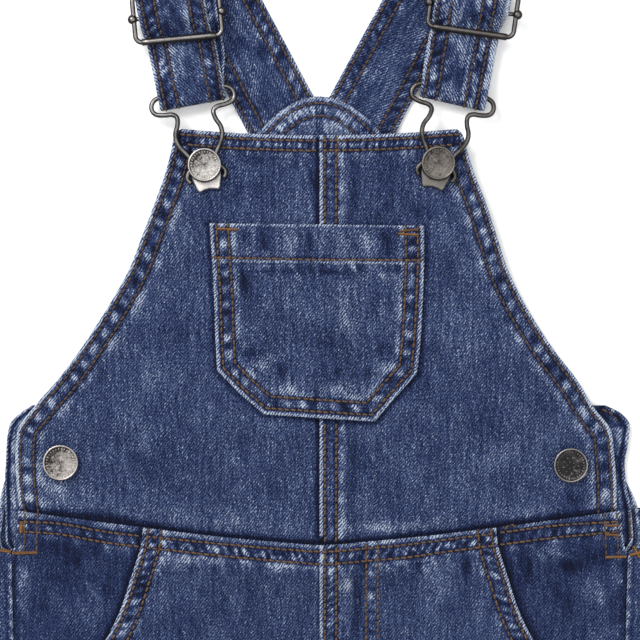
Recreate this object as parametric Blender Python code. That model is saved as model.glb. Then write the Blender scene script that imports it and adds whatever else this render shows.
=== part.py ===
"""Kids dungarees in denim, laid front up on a flat surface.

+X runs to the right of the front view, +Y towards the shoulders and +Z up off the surface.
Sizes are in millimetres. Heights along the garment are counted from the waist seam at the
centre front, and place() moves them to the origin, the middle of the garment's footprint.
"""
import math

import bmesh
import bpy
from mathutils import Vector

MM = 0.001

# Cloth
CLOTH = 1.2  # one wall of denim
HEM_CLOTH = 2.0  # a turned and stitched edge
STRAP_CLOTH = 1.8  # a strap is a flat tube of denim
GAP = 0.3
LIFT = CLOTH + GAP  # what one layer raises the next
FACING_LIFT = CLOTH + 0.4

# Garment
SHOULDER_Y = 317.5
HEM_Y = -415.0
CROTCH = 165.0  # waist seam to crotch
MIDDLE_Y = (SHOULDER_Y + HEM_Y) / 2
WAIST_RISE, WAIST_HALF, WAIST_POWER = 15.0, 133.0, 1.25  # the waist seam climbs to the sides
BIB_UNDER = 13.0  # how far the bib goes under the front's folded edge
BIB_TOP_Y, BIB_SMILE, BIB_TOP_HALF = 186.5, 2.9, 62.0
BIB_LEVEL_Y = 110.0  # above this the bib's rows no longer follow the waist
BIB_SMILE_Y = 166.0  # from here up they follow the top's full curve
POCKET_HEM_LOW = 126.5
POCKET_TILT, POCKET_BOTTOM_TILT = 0.012, 0.065  # rise to the left for each millimetre across
ARMHOLE_BAND = 9.0
TOP_BAND = 9.5
LAP = 8.5  # the left half passes under the right one
LAP_FLAT, LAP_END, LAP_START = 9.0, 20.0, 12.0
LAP_NARROWS = 146.0  # below the waist, from here the under lap runs out to the crotch
LAP_CALM = (175.0, 215.0)  # between these the raised strip at the centre comes down
OPENING_END_Y = -4.0
SIDE_WRAP_HEIGHT = 4.2
YOKE_Y, YOKE_CURVE = 201.2, 0.0215
YOKE_EDGE_HALF = 38.0
YOKE_RISE = (140.0, 167.0)  # between these the back climbs onto the strap ends
ROWS_LEVEL = 62.0  # this far below the waist a panel's rows are straight across
FACING_FADE = (62.0, 33.0)  # distances from the pocket opening between which the front is raised
LEG_SPLAY = 22.0  # half the gap between the hems
LEG_PART, LEG_PART_LENGTH, LEG_PART_BEND = 0.4, 9.0, 0.85  # the inside legs part just above the crotch
HEM_BAND = 13.0
SEAM_HALF = 0.15

# Heights of the lowest layers off the surface
BIB_LOW, BIB_TOP_LOW, BIB_CROWN = 3.0, 4.0, 0.8
BIB_TOP_RISE, BIB_CROWN_HALF = 40.0, 140.0  # the length over which it climbs, the crown's half-width
FRONT_LOW, FRONT_SIDE, FRONT_CROWN = 1.6, 1.4, 1.5

# Half-width of the bib: height, left, right
BIB_EDGE = (
    (2.0, 133.4, 133.2),
    (15.0, 134.6, 133.4),
    (17.0, 134.9, 133.4),
    (28.0, 136.1, 133.2),
    (40.0, 136.6, 132.3),
    (50.0, 135.8, 131.2),
    (63.5, 127.1, 122.2),
    (74.0, 118.1, 116.1),
    (89.0, 106.9, 104.6),
    (101.0, 98.8, 96.5),
    (111.0, 92.3, 90.4),
    (125.0, 84.8, 83.9),
    (139.0, 79.4, 79.3),
    (153.0, 74.0, 74.7),
    (166.0, 69.4, 69.6),
    (176.4, 66.6, 66.3),
    (177.4, 66.4, 66.0),
    (184.7, 64.6, 63.7),
    (186.5, 61.7, 61.4),
)

# Bib pocket: height, left, right
POCKET_EDGE = (
    (143.6, 49.3, 46.8),
    (127.0, 48.2, 47.0),
    (126.0, 48.1, 47.0),
    (110.0, 47.3, 46.3),
    (94.0, 46.8, 45.5),
    (77.5, 45.9, 43.9),
    (67.0, 35.5, 34.4),
    (56.8, 25.0, 24.6),
)

# Curved opening of the front pocket: height, distance from the centre
OPENING = (
    (12.0, 78.7),
    (0.0, 80.0),
    (-5.4, 81.5),
    (-14.5, 84.5),
    (-27.5, 88.7),
    (-43.2, 96.3),
    (-56.0, 107.5),
    (-68.0, 122.0),
    (-78.0, 137.3),
)
# The facing's inner edge, hidden under the leg
FACING_EDGE = (
    (12.0, 64.5),
    (0.0, 66.0),
    (-14.5, 70.5),
    (-27.5, 75.0),
    (-43.0, 82.5),
    (-60.0, 95.0),
    (-76.0, 112.0),
    (-88.0, 128.0),
    (-93.0, 133.2),
)
# Outline and side seam: height, outermost half-width, side seam, front's edge
SIDE = (
    (16.0, 144.2, 141.5, 135.0),
    (0.0, 146.6, 143.2, 136.6),
    (OPENING_END_Y, 147.2, 138.4, 138.1),
    (-20.0, 148.6, 137.9, 137.6),
    (-43.0, 149.4, 137.4, 137.1),
    (-78.0, 149.5, 137.6, 137.3),
    (-165.0, 149.0, 138.2, 137.9),
    (-290.0, 147.6, 137.8, 137.5),
    (HEM_Y, 148.2, 139.6, 139.3),
)
# Back bib: height of its side edge, half-width
BACK_EDGE = (
    (15.2, 144.1),
    (28.0, 142.3),
    (40.0, 140.2),
    (50.0, 136.5),
    (58.0, 130.0),
    (66.0, 120.0),
    (80.0, 104.0),
    (100.0, 85.0),
    (125.0, 66.0),
    (150.0, 51.0),
    (170.1, YOKE_EDGE_HALF),
)
# Placket: height, outer edge left, outer edge right, inner edge
PLACKET = (
    (62.5, 129.0, 128.5, 122.0),
    (59.0, 134.5, 135.4, 118.0),
    (53.5, 139.3, 139.4, 116.0),
    (45.0, 140.6, 139.2, 115.0),
    (28.0, 141.4, 139.0, 115.0),
    (14.0, 141.2, 141.0, 115.0),
    (2.0, 141.1, 141.0, 116.0),
    (-3.2, 138.4, 138.4, 124.0),
)
# Soft ridges in the front of each leg: start, end (distance from the centre, height), rise, spread
LEG_FOLDS = (
    ((14.0, -172.0), (72.0, -132.0), 1.6, 13.0),
    ((20.0, -196.0), (96.0, -176.0), 1.9, 14.0),
    ((128.0, -236.0), (62.0, -262.0), 1.8, 15.0),
    ((38.0, -292.0), (112.0, -306.0), 1.5, 14.0),
    ((122.0, -352.0), (66.0, -370.0), 1.3, 14.0),
)

# Each side's strap: shoulder fold and a point low on the back run (across, along), height of the
# slide above the lower fold, tilt of slide and clasp in degrees, sideways drift of the returning end
STRAPS = {
    "left": {"fold": (-79.0, 310.0), "back": (-18.2, 194.5), "slide": 38.5,
             "slide_tilt": 6.5, "clasp_tilt": 10.5, "drift": 2.4},
    "right": {"fold": (79.0, 304.0), "back": (19.2, 193.0), "slide": 41.0,
              "slide_tilt": -9.0, "clasp_tilt": -13.0, "drift": -0.8},
}
STRAP_UNDER_YOKE = 12.0
STRAP_HALF_BACK, STRAP_HALF_FRONT = 17.0, 15.0
STRAP_SPAN = (-1.0, -0.78, 0.0, 0.78, 1.0)  # columns across a strap
RETURN_LENGTH = 33.0
# Front run, as distances above the strap's lower fold: level over the clasp bar up to the first,
# down on the returning end at the second; the rows keep the clasp's tilt up to the third
OVER_BAR_END, ON_RETURN, CLASP_TILT_END = 5.0, 17.0, 14.0
DOWN_PAST_SLIDE, SQUARE_PAST_SLIDE = 22.0, 30.0  # past the slide: flat on the back run, rows square

# Metal
WIRE = 0.95
FOLD_ALONG, BAR_ALONG, BAR_Z = 30.35, 33.4, 5.15  # strap's lower fold, and the bar lying loose in it
SLIDE_HALF_WIDTH, SLIDE_HALF_HEIGHT, SLIDE_CORNER = 19.4, 10.2, 3.0
SLIDE_WIRE, SLIDE_SLEEVE, SLIDE_KNOB = 1.0, 1.25, 1.7
SLIDE_OVERHANG, KNOB_IN, KNOB_OUT, KNOB_DROP = 1.2, 0.9, 1.3, 0.3  # of the middle bar and its knobs
SLIDE_Z, SLIDE_BAR_Z = 7.4, 6.6
TUBE_SIDES = 8
BIB_BUTTONS = {"left": (-51.5, 170.2), "right": (53.1, 171.0)}
SIDE_BUTTONS = {"left": (-116.1, 36.9), "right": (112.6, 35.7)}
BIB_BUTTON_RADIUS, SIDE_BUTTON_RADIUS = 7.45, 7.95
SHANK_RADIUS, BIB_SHANK, SIDE_SHANK = 2.4, 3.1, 0.7
BUTTON_SIDES = 20
# Head of a button: part of the radius, height above the shank
BUTTON_HEAD = ((0.86, 0.0), (1.0, 0.6), (1.0, 1.3), (0.94, 1.9), (0.8, 2.0), (0.74, 1.7), (0.0, 1.75))
PLATE_THICK, PLATE_HOLE = 1.0, 3.1

# Half of the clasp wire from the button's centre: across, along, height
CLASP_HALF = (
    (0.0, BAR_ALONG, BAR_Z),
    (10.0, BAR_ALONG, BAR_Z),
    (15.0, BAR_ALONG - 0.1, BAR_Z),
    (17.7, 32.0, BAR_Z + 0.05),
    (18.8, 29.6, BAR_Z + 0.2),
    (18.4, 27.4, BAR_Z + 0.45),
    (16.9, 26.0, BAR_Z + 0.7),
    (13.8, 25.2, BAR_Z + 1.15),
    (10.6, 24.9, BAR_Z + 1.65),
    (8.7, 23.8, 7.2),
    (8.2, 22.0, 7.6),
    (8.8, 19.2, 8.05),
    (10.2, 16.0, 8.2),
    (10.4, 12.8, 8.2),
    (9.3, 9.6, 8.15),
    (7.4, 6.6, 8.1),
    (5.9, 4.2, 8.0),
    (5.6, 1.8, 7.95),
    (6.4, -0.8, 7.95),
    (7.7, -2.3, 7.95),
    (8.7, -4.2, 7.95),
    (8.1, -5.9, 7.95),
)
# Half of the clasp plate's outline: across, along
PLATE_HALF = ((3.4, 4.1), (4.0, -1.0), (7.1, -3.8), (4.7, -12.0), (2.4, -11.1), (0.0, -10.8))

# Colours and finishes
DENIM = (0.062, 0.105, 0.235, 1.0)
DENIM_DARK = (0.040, 0.068, 0.165, 1.0)
NICKEL = (0.34, 0.33, 0.31, 1.0)


def place(x, y, z):
    """A point of the garment in metres, about the middle of its footprint."""
    return Vector((x, y - MIDDLE_Y, z)) * MM


def between(value, low, high):
    """0 below low, 1 above high and straight between; low may be the larger one."""
    return min(1.0, max(0.0, (value - low) / (high - low)))


def soft(value):
    return value * value * (3.0 - 2.0 * value)


def read(table, height, column):
    """A column of a table at a height, straight between its rows."""
    rows = sorted(table)
    height = min(max(height, rows[0][0]), rows[-1][0])
    for low, high in zip(rows, rows[1:]):
        if height <= high[0]:
            part = (height - low[0]) / (high[0] - low[0])
            return low[column] + part * (high[column] - low[column])
    return rows[-1][column]


def distance_to(x, y, line):
    """Distance from a point to a chain of points."""
    here = Vector((x, y))
    nearest = 1e9
    for start, end in zip(line, line[1:]):
        a, b = Vector(start), Vector(end)
        along = between((here - a).dot(b - a), 0.0, (b - a).length_squared)
        nearest = min(nearest, (here - a.lerp(b, along)).length)
    return nearest


# ---- heights shared by the layers ----


def waist(x):
    return WAIST_RISE * (abs(x) / WAIST_HALF) ** WAIST_POWER


def lap_raise(x):
    """How much what lies over the centre lap is raised."""
    if x < 0.0:
        return LIFT * between(x, -LAP_START, 0.0)
    return LIFT * between(x, LAP_END, LAP_FLAT)


def bib_low(x, y):
    """Underside of the bib."""
    top = (BIB_TOP_LOW - BIB_LOW) * between(y, BIB_LEVEL_Y, BIB_LEVEL_Y + BIB_TOP_RISE)
    return BIB_LOW + top + BIB_CROWN * (1.0 - (x / BIB_CROWN_HALF) ** 2)


def leg_inner(y):
    """Distance of the inside leg from the centre."""
    if y > -CROTCH + LEG_PART_LENGTH:
        return 0.0
    down = between(y, -CROTCH, HEM_Y)
    return LEG_PART + LEG_SPLAY * down**LEG_PART_BEND


def front_low(x, y):
    """Underside of the front below the waist, where it lies on the back."""
    inner = leg_inner(y)
    part = between(abs(x), inner, read(SIDE, y, 2))
    return FRONT_LOW + FRONT_SIDE * part + 4.0 * FRONT_CROWN * part * (1.0 - part)


def front_base(x, y):
    """Underside of the front where it rises over the bib's lower edge at the waist."""
    over = 1.0 - between(waist(x) - y, BIB_UNDER + 1.0, 2.0 * BIB_UNDER)
    on_bib = bib_low(x, y) + LIFT + lap_raise(x)
    return over * on_bib + (1.0 - over) * front_low(x, y)


# ---- solids ----


def finish(name, mesh_data, material, smooth_angle=35.0):
    """A closed mesh as an object with its own material."""
    bmesh.ops.recalc_face_normals(mesh_data, faces=mesh_data.faces)
    mesh = bpy.data.meshes.new(name)
    mesh_data.to_mesh(mesh)
    mesh_data.free()
    mesh.shade_smooth()
    mesh.set_sharp_from_angle(angle=math.radians(smooth_angle))
    mesh.materials.append(material)
    item = bpy.data.objects.new(name, mesh)
    bpy.context.scene.collection.objects.link(item)
    return item


def wall(name, under, over, material):
    """A closed cloth wall between two grids of points with the same rows and columns."""
    data = bmesh.new()
    grids = [[[data.verts.new(place(*p)) for p in row] for row in grid] for grid in (under, over)]
    rows, columns = len(under), len(under[0])
    for side, grid in enumerate(grids):
        for i in range(rows - 1):
            for j in range(columns - 1):
                a, b, c, d = grid[i][j], grid[i][j + 1], grid[i + 1][j + 1], grid[i + 1][j]
                for corners in ((a, b, c), (a, c, d)):
                    data.faces.new(corners if side else corners[::-1])
    rim = [(0, j) for j in range(columns)]
    rim += [(i, columns - 1) for i in range(1, rows)]
    rim += [(rows - 1, j) for j in range(columns - 2, -1, -1)]
    rim += [(i, 0) for i in range(rows - 2, 0, -1)]
    for (i, j), (k, m) in zip(rim, rim[1:] + rim[:1]):
        data.faces.new((grids[0][i][j], grids[0][k][m], grids[1][k][m]))
        data.faces.new((grids[0][i][j], grids[1][k][m], grids[1][i][j]))
    return finish(name, data, material)


def sheet(name, rows, material):
    """A cloth wall from rows of (x, y, underside, thickness)."""
    under = [[(x, y, low) for x, y, low, thick in row] for row in rows]
    over = [[(x, y, low + thick) for x, y, low, thick in row] for row in rows]
    return wall(name, under, over, material)


def material(name, colour, roughness, metallic):
    made = bpy.data.materials.new(name)
    made.use_nodes = True
    shader = made.node_tree.nodes["Principled BSDF"]
    shader.inputs["Base Color"].default_value = colour
    shader.inputs["Roughness"].default_value = roughness
    shader.inputs["Metallic"].default_value = metallic
    made.diffuse_color = colour
    return made


def denim(name, colour=DENIM):
    return material(name, colour, 0.85, 0.0)


def nickel(name):
    return material(name, NICKEL, 0.38, 1.0)


# ---- bib ----


def bib_half(name, side):
    """One half of the bib, with a turned band along its top and armhole edge."""
    column = 1 if side < 0 else 2
    rows = []
    for height, *_ in BIB_EDGE:
        edge = read(BIB_EDGE, height, column)
        centre = (-LAP, 0.0, LAP_START) if side < 0 else (0.0, LAP_FLAT, LAP_END)
        band = edge - ARMHOLE_BAND
        spread = [centre[2] + (band - 0.6 - centre[2]) * k / 4 for k in range(1, 5)]
        low_part = 1.0 - between(height, WAIST_RISE, BIB_LEVEL_Y)
        top_part = between(height, BIB_LEVEL_Y, BIB_SMILE_Y)
        row = []
        for away in (*centre, *spread, band + 0.4, edge):
            x = side * away
            smile = BIB_SMILE * min(0.0, (x / BIB_TOP_HALF) ** 2 - 1.0)
            y = height + low_part * (waist(x) - WAIST_RISE) + top_part * smile
            turned = away > band and height > WAIST_RISE + 1.0
            turned = turned or (height > BIB_TOP_Y - TOP_BAND and (side > 0 or away > 1.0))
            low = bib_low(x, y) + (lap_raise(x) if side > 0 else 0.0)
            row.append((x, y, low, HEM_CLOTH if turned else CLOTH))
        rows.append(row)
    return sheet(name, rows, denim(name))


def bib_pocket():
    """The patch pocket: made from the bib's own heights, moved out by one layer."""
    rows = []
    for height, left, right in POCKET_EDGE:
        xs = [-left + (left - LAP_START) * k / 3 for k in range(4)]
        xs += [0.0, LAP_FLAT]
        xs += [LAP_END + (right - LAP_END) * k / 3 for k in range(4)]
        tilt = POCKET_BOTTOM_TILT if height == POCKET_EDGE[-1][0] else POCKET_TILT
        row = []
        for x in xs:
            y = height - tilt * x
            thick = HEM_CLOTH if height > POCKET_HEM_LOW else CLOTH
            row.append((x, y, bib_low(x, y) + LIFT + lap_raise(x), thick))
        rows.append(row)
    return sheet("bib_pocket", rows, denim("bib_pocket"))


# ---- lower half ----

# Rows of the facings, the lower panels and the back bib: distances below the waist seam, and parts
# of the back bib's height
FACING_ROWS = (0.0, 7.0, 14.0, 19.0, 26.0, 38.0, 52.0, 66.0, 78.0, 88.0, 93.0)
PANEL_ROWS = (0.0, 7.0, 14.0, 19.0, 26.0, 38.0, 52.0, 66.0, 78.0, 93.0, 110.0, 127.0, 142.0, 156.0,
              165.0, 182.0, 200.0, 220.0, 240.0, 262.0, 284.0, 306.0, 330.0, 354.0, 378.0)
PANEL_ROWS += (-HEM_Y - HEM_BAND - 0.8, -HEM_Y - HEM_BAND, -HEM_Y)
BACK_BIB_ROWS = (0.0, 0.08, 0.16, 0.225, 0.28, 0.33, 0.42, 0.55, 0.66, 0.77, 0.86, 0.93, 1.0)


def row_y(x, below):
    """Height of a panel row: it follows the waist seam near the waist and is straight lower down."""
    return waist(x) * (1.0 - between(below, 2.0 * BIB_UNDER, ROWS_LEVEL)) - below


def row_edge(below, edge):
    """Where a panel row meets an edge given as a function of height."""
    x = edge(-below)
    for _ in range(12):
        x = edge(row_y(x, below))
    return x


def leg_fold(x, y):
    return sum(rise * math.exp(-((distance_to(abs(x), y, (start, end)) / spread) ** 2))
               for start, end, rise, spread in LEG_FOLDS)


def front_leg(name, side):
    """Front of one leg, from its folded waist edge to the hem, cut away at the pocket."""
    opening = [(away, height) for height, away in OPENING]

    def edge(y):
        return read(OPENING, y, 1) if y > OPENING[-1][0] else read(SIDE, y, 3)

    rows = []
    for below in PANEL_ROWS:
        outer = row_edge(below, edge)
        inner = leg_inner(-below)
        if side < 0:
            lap = LAP * (1.0 - between(below, LAP_NARROWS, CROTCH - 1.0))
            centre = (inner - lap, inner + 0.2 * (1.0 - lap / LAP) * LAP_START, inner + LAP_START)
        else:
            centre = (inner, inner + LAP_FLAT, inner + LAP_END)
        spread = [centre[2] + (outer - centre[2]) * k / 7 for k in range(1, 8)]
        row = []
        for away in (*centre, *spread):
            x = side * away
            y = row_y(x, below)
            low = front_base(x, y)
            low += FACING_LIFT * between(distance_to(away, y, opening), *FACING_FADE)
            if side > 0:
                low += lap_raise(away - inner) * (1.0 - between(below, *LAP_CALM))
            low += leg_fold(x, y)
            hem = below > -HEM_Y - HEM_BAND - 0.1
            row.append((x, y, low, HEM_CLOTH if hem else CLOTH))
        rows.append(row)
    return sheet(name, rows, denim(name))


def pocket_facing(name, side):
    """The hip piece that shows outside the curved pocket opening."""
    rows = []
    for below in FACING_ROWS:
        outer = row_edge(below, lambda y: read(SIDE, y, 3))
        inner = row_edge(below, lambda y: read(FACING_EDGE, y, 1))
        row = []
        for k in range(7):
            x = side * (inner + (outer - inner) * k / 6)
            y = row_y(x, below)
            row.append((x, y, front_base(x, y), CLOTH))
        rows.append(row)
    return sheet(name, rows, denim(name, DENIM_DARK))


def back_leg(name, side):
    """Back of one leg and half the seat. It lies on the surface and turns up round the side."""
    radius = SIDE_WRAP_HEIGHT / 2
    under, over = [], []
    for below in PANEL_ROWS:
        y = -below - (2.0 * SEAM_HALF if below == 0.0 else 0.0)
        out = row_edge(below, lambda h: read(SIDE, h, 1))
        seam = row_edge(below, lambda h: read(SIDE, h, 2))
        inner = max(SEAM_HALF, leg_inner(-below))
        flat_end = out - radius
        profile = [(inner + (flat_end - inner) * k / 7, 0.0, CLOTH) for k in range(8)]
        outside = [(away, low) for away, low, high in profile]
        inside = [(away, high) for away, low, high in profile]
        for step in range(1, 5):
            turn = math.pi * step / 4
            reach, rise = math.sin(turn), math.cos(turn)
            outside.append((flat_end + radius * reach, radius - radius * rise))
            inside.append((flat_end + (radius - CLOTH) * reach, radius - (radius - CLOTH) * rise))
        for part in (0.5, 1.0):
            away = flat_end + (seam - flat_end) * part
            outside.append((away, SIDE_WRAP_HEIGHT))
            inside.append((away, SIDE_WRAP_HEIGHT - CLOTH))
        shift = y + below
        under.append([(side * away, row_y(away, below) + shift, z) for away, z in outside])
        over.append([(side * away, row_y(away, below) + shift, z) for away, z in inside])
    return wall(name, under, over, denim(name))


def back_bib(name, side):
    """Back above the waist, narrowing to the arched yoke that covers the strap ends."""
    first, last = BACK_EDGE[0][0], BACK_EDGE[-1][0]
    rows = []
    for part in BACK_BIB_ROWS:
        height = first + (last - first) * part
        edge = read(BACK_EDGE, height, 1)
        row = []
        for k in range(7):
            x = side * (SEAM_HALF + (edge - SEAM_HALF) * k / 6)
            arch = YOKE_Y - YOKE_CURVE * x * x - last
            y = height + (1.0 - part) ** 2 * (waist(x) - WAIST_RISE) + part**2 * arch
            if part == 0.0:
                y = waist(x) + 2.0 * SEAM_HALF
            low = (STRAP_CLOTH + GAP) * between(y, *YOKE_RISE)
            row.append((x, y, low, CLOTH))
        rows.append(row)
    return sheet(name, rows, denim(name))


def side_placket(name, side):
    """The strip behind the side opening, under the bib's side edge."""
    column = 1 if side < 0 else 2
    rows = []
    for height, *_ in PLACKET:
        outer, inner = read(PLACKET, height, column), read(PLACKET, height, 3)
        rows.append([(side * (inner + (outer - inner) * k / 3), height, LIFT, CLOTH)
                     for k in range(4)])
    return sheet(name, rows, denim(name, DENIM_DARK))


# ---- straps ----

BACK_RUN_ROWS = (0.0, 5.0, 10.0, 16.0, 23.0, 32.0, 48.0, 66.0, 86.0, 104.0)  # from the centre back
RETURN_ROWS = (0.0, 9.0, 17.0, 25.0, RETURN_LENGTH)


def strap_layout(side_name):
    """Directions of a strap's two runs and of the fold between them, in plan."""
    row = STRAPS[side_name]
    tilt = math.radians(row["clasp_tilt"])
    clasp_up = Vector((-math.sin(tilt), math.cos(tilt)))
    fold, back = Vector(row["fold"]), Vector(row["back"])
    front = Vector(BIB_BUTTONS[side_name]) + clasp_up * FOLD_ALONG
    up, down = (fold - back).normalized(), (front - fold).normalized()
    crease = (up + down).normalized()
    crease *= 1.0 if crease.x > 0.0 else -1.0
    return {
        "fold": fold, "back": back, "front": front, "up": up, "down": down, "crease": crease,
        "crease_out": Vector((-crease.y, crease.x)),
        "up_side": Vector((up.y, -up.x)), "down_side": Vector((-down.y, down.x)),
        "clasp_down": -clasp_up, "length": (front - fold).length,
        "slide": row["slide"], "drift": row["drift"],
        "slide_tilt": math.radians(row["slide_tilt"]), "clasp_tilt": tilt,
    }


def front_row(lay, q, half, drift=0.0):
    """Points across the strap's front run, q above its lower fold. The rows turn from square to
    the strap, far up, to the slide's tilt and then to the clasp's."""
    square = math.atan2(lay["down_side"].y, lay["down_side"].x)
    slide = lay["slide"]
    turn = lay["clasp_tilt"]
    turn += (lay["slide_tilt"] - turn) * between(q, CLASP_TILT_END, slide - SLIDE_HALF_HEIGHT)
    turn += (square - turn) * between(q, slide + SLIDE_HALF_HEIGHT, slide + SQUARE_PAST_SLIDE)
    line = Vector((math.cos(turn), math.sin(turn)))
    centre = lay["front"] - lay["down"] * q
    reach = half / line.dot(lay["down_side"])
    return [centre + line * (span * reach + drift) for span in STRAP_SPAN]


def front_run_low(q, slide):
    """Underside of the strap's front layer, q above its lower fold: over the slide's middle bar."""
    over_clasp, over_back = BAR_Z + WIRE + GAP, STRAP_CLOTH + GAP
    over_return = 2.0 * over_back
    over_bar = SLIDE_BAR_Z + WIRE + GAP
    stops = (
        (0.0, over_clasp), (OVER_BAR_END, over_clasp), (ON_RETURN, over_return),
        (slide - SLIDE_HALF_HEIGHT, over_return), (slide, over_bar),
        (slide + SLIDE_HALF_HEIGHT, over_return), (slide + DOWN_PAST_SLIDE, over_back),
    )
    for (q0, z0), (q1, z1) in zip(stops, stops[1:]):
        if q <= q1:
            return z0 + (z1 - z0) * soft(between(q, q0, q1))
    return over_back


def strap(name, side, side_name):
    """One strip: from under the yoke, over the shoulder, through the slide, round the clasp bar."""
    lay = strap_layout(side_name)
    outside, inside = [], []
    back_length = (lay["fold"] - lay["back"]).length + STRAP_UNDER_YOKE

    def half(part):
        return STRAP_HALF_BACK + (STRAP_HALF_FRONT - STRAP_HALF_BACK) * part

    def add(points, out_z, in_z):
        outside.append([(p.x, p.y, out_z) for p in points])
        inside.append([(p.x, p.y, in_z) for p in points])

    # back run, mitred against the other strap at the centre back
    for along in BACK_RUN_ROWS:
        centre = lay["fold"] - lay["up"] * (back_length - along)
        width = half(along / back_length * 0.5)
        inner_side = -side
        room = (side * 0.2 - centre.x) / (lay["up_side"].x * inner_side)
        inner = min(width, room)
        row = []
        for span in STRAP_SPAN:
            across = span * (inner if span * inner_side > 0.0 else width)
            row.append(centre + lay["up_side"] * across)
        add(row, 0.0, STRAP_CLOTH)

    # shoulder fold
    width = half(0.5)
    reach = lay["crease"].dot(lay["up_side"])
    crease = [lay["fold"] + lay["crease"] * (span * width / reach) for span in STRAP_SPAN]
    middle = STRAP_CLOTH + GAP / 2
    for step in range(5):
        turn = math.pi * step / 4
        push, rise = math.sin(turn), math.cos(turn)
        outside.append([(*(p + lay["crease_out"] * middle * push), middle * (1.0 - rise))
                        for p in crease])
        inside.append([(*(p + lay["crease_out"] * GAP / 2 * push), middle - GAP / 2 * rise)
                       for p in crease])

    # front run
    slide = lay["slide"]
    stops = [slide + past for past in (34.0, DOWN_PAST_SLIDE, 16.0)]
    stops += [slide + SLIDE_HALF_HEIGHT * k / 4 for k in range(4, -5, -1)]
    stops += [22.0, ON_RETURN, 12.0, OVER_BAR_END, 0.0]
    for q in stops:
        part = 0.5 + 0.5 * (1.0 - q / lay["length"])
        low = front_run_low(q, slide)
        add(front_row(lay, q, half(part)), low + STRAP_CLOTH, low)

    # fold round the clasp bar
    inner_radius = WIRE + GAP
    outer_radius = inner_radius + STRAP_CLOTH
    line = front_row(lay, 0.0, half(1.0))
    for step in range(1, 6):
        turn = math.pi * step / 6
        push, rise = math.sin(turn), math.cos(turn)
        outside.append([(*(p + lay["clasp_down"] * outer_radius * push),
                         BAR_Z + outer_radius * rise) for p in line])
        inside.append([(*(p + lay["clasp_down"] * inner_radius * push),
                        BAR_Z + inner_radius * rise) for p in line])

    # the end that returns behind the front layer
    low = BAR_Z - outer_radius
    for q in RETURN_ROWS:
        drift = lay["drift"] * between(q, 0.0, RETURN_LENGTH)
        add(front_row(lay, q, half(1.0), drift), low, low + STRAP_CLOTH)
    return wall(name, outside, inside, denim(name))


# ---- metal ----


def smooth_path(points, steps):
    """A curve through the points, with a few steps between each pair."""
    spots = [Vector(p) for p in points]
    spots = [spots[0] * 2 - spots[1], *spots, spots[-1] * 2 - spots[-2]]
    path = []
    for a, b, c, d in zip(spots, spots[1:], spots[2:], spots[3:]):
        for k in range(steps):
            t = k / steps
            path.append(0.5 * (2 * b + (c - a) * t + (2 * a - 5 * b + 4 * c - d) * t**2
                               + (3 * b - 3 * c + d - a) * t**3))
    return path + [spots[-2]]


def tube(data, path, radius, closed=False):
    """A round wire along a path, in the mesh data, with flat ends."""
    rings = []
    count = len(path)
    side = None
    for i, point in enumerate(path):
        before = path[i - 1] if i or closed else point
        after = path[(i + 1) % count] if i + 1 < count or closed else point
        forward = (after - before).normalized()
        if side is None:
            side = forward.orthogonal().normalized()
        side = (side - forward * side.dot(forward)).normalized()
        up = forward.cross(side)
        ring = []
        for k in range(TUBE_SIDES):
            turn = 2 * math.pi * (k + 0.5) / TUBE_SIDES
            ring.append(data.verts.new(point + (side * math.cos(turn) + up * math.sin(turn)) * radius))
        rings.append(ring)
    pairs = list(zip(rings, rings[1:])) + ([(rings[-1], rings[0])] if closed else [])
    for first, second in pairs:
        for k in range(TUBE_SIDES):
            m = (k + 1) % TUBE_SIDES
            data.faces.new((first[k], first[m], second[m], second[k]))
    if not closed:
        data.faces.new(rings[0][::-1])
        data.faces.new(rings[-1])


def turned(name, profile, sides, made):
    """A solid of revolution about Z from (radius, height) points."""
    data = bmesh.new()
    rings = []
    for radius, height in profile:
        if radius == 0.0:
            rings.append([data.verts.new(Vector((0, 0, height)) * MM)])
            continue
        rings.append([data.verts.new(Vector((radius * math.cos(2 * math.pi * k / sides),
                                             radius * math.sin(2 * math.pi * k / sides),
                                             height)) * MM) for k in range(sides)])
    for low, high in zip(rings, rings[1:]):
        for k in range(sides):
            m = (k + 1) % sides
            ring = [low[k % len(low)], low[m % len(low)], high[m % len(high)], high[k % len(high)]]
            data.faces.new(list(dict.fromkeys(ring)))
    return finish(name, data, made)


def lay_on(item, x, y, z, tilt=0.0):
    """Moves an object made about its own origin to its place on the garment."""
    item.location = place(x, y, z)
    item.rotation_euler = (0.0, 0.0, math.radians(tilt))
    return item


def button(name, spot, radius, shank, base):
    profile = [(0.0, 0.0), (SHANK_RADIUS, 0.0), (SHANK_RADIUS, shank)]
    profile += [(radius * part, shank + rise) for part, rise in BUTTON_HEAD]
    return lay_on(turned(name, profile, BUTTON_SIDES, nickel(name)), *spot, base)


def bib_top_surface(spot):
    return bib_low(*spot) + CLOTH


def bib_button(name, side_name):
    spot = BIB_BUTTONS[side_name]
    return button(name, spot, BIB_BUTTON_RADIUS, BIB_SHANK, bib_top_surface(spot) + GAP)


def side_button(name, side_name):
    spot = SIDE_BUTTONS[side_name]
    return button(name, spot, SIDE_BUTTON_RADIUS, SIDE_SHANK, bib_top_surface(spot) + GAP)


def clasp_wire(name, side_name):
    """The bent wire that hangs from the strap and closes round the button's shank."""
    half = smooth_path(CLASP_HALF, 3)
    whole = [Vector((-p.x, p.y, p.z)) for p in half[:0:-1]] + half
    data = bmesh.new()
    tube(data, [p * MM for p in whole], WIRE * MM)
    item = finish(name, data, nickel(name))
    return lay_on(item, *BIB_BUTTONS[side_name], 0.0, STRAPS[side_name]["clasp_tilt"])


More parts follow.
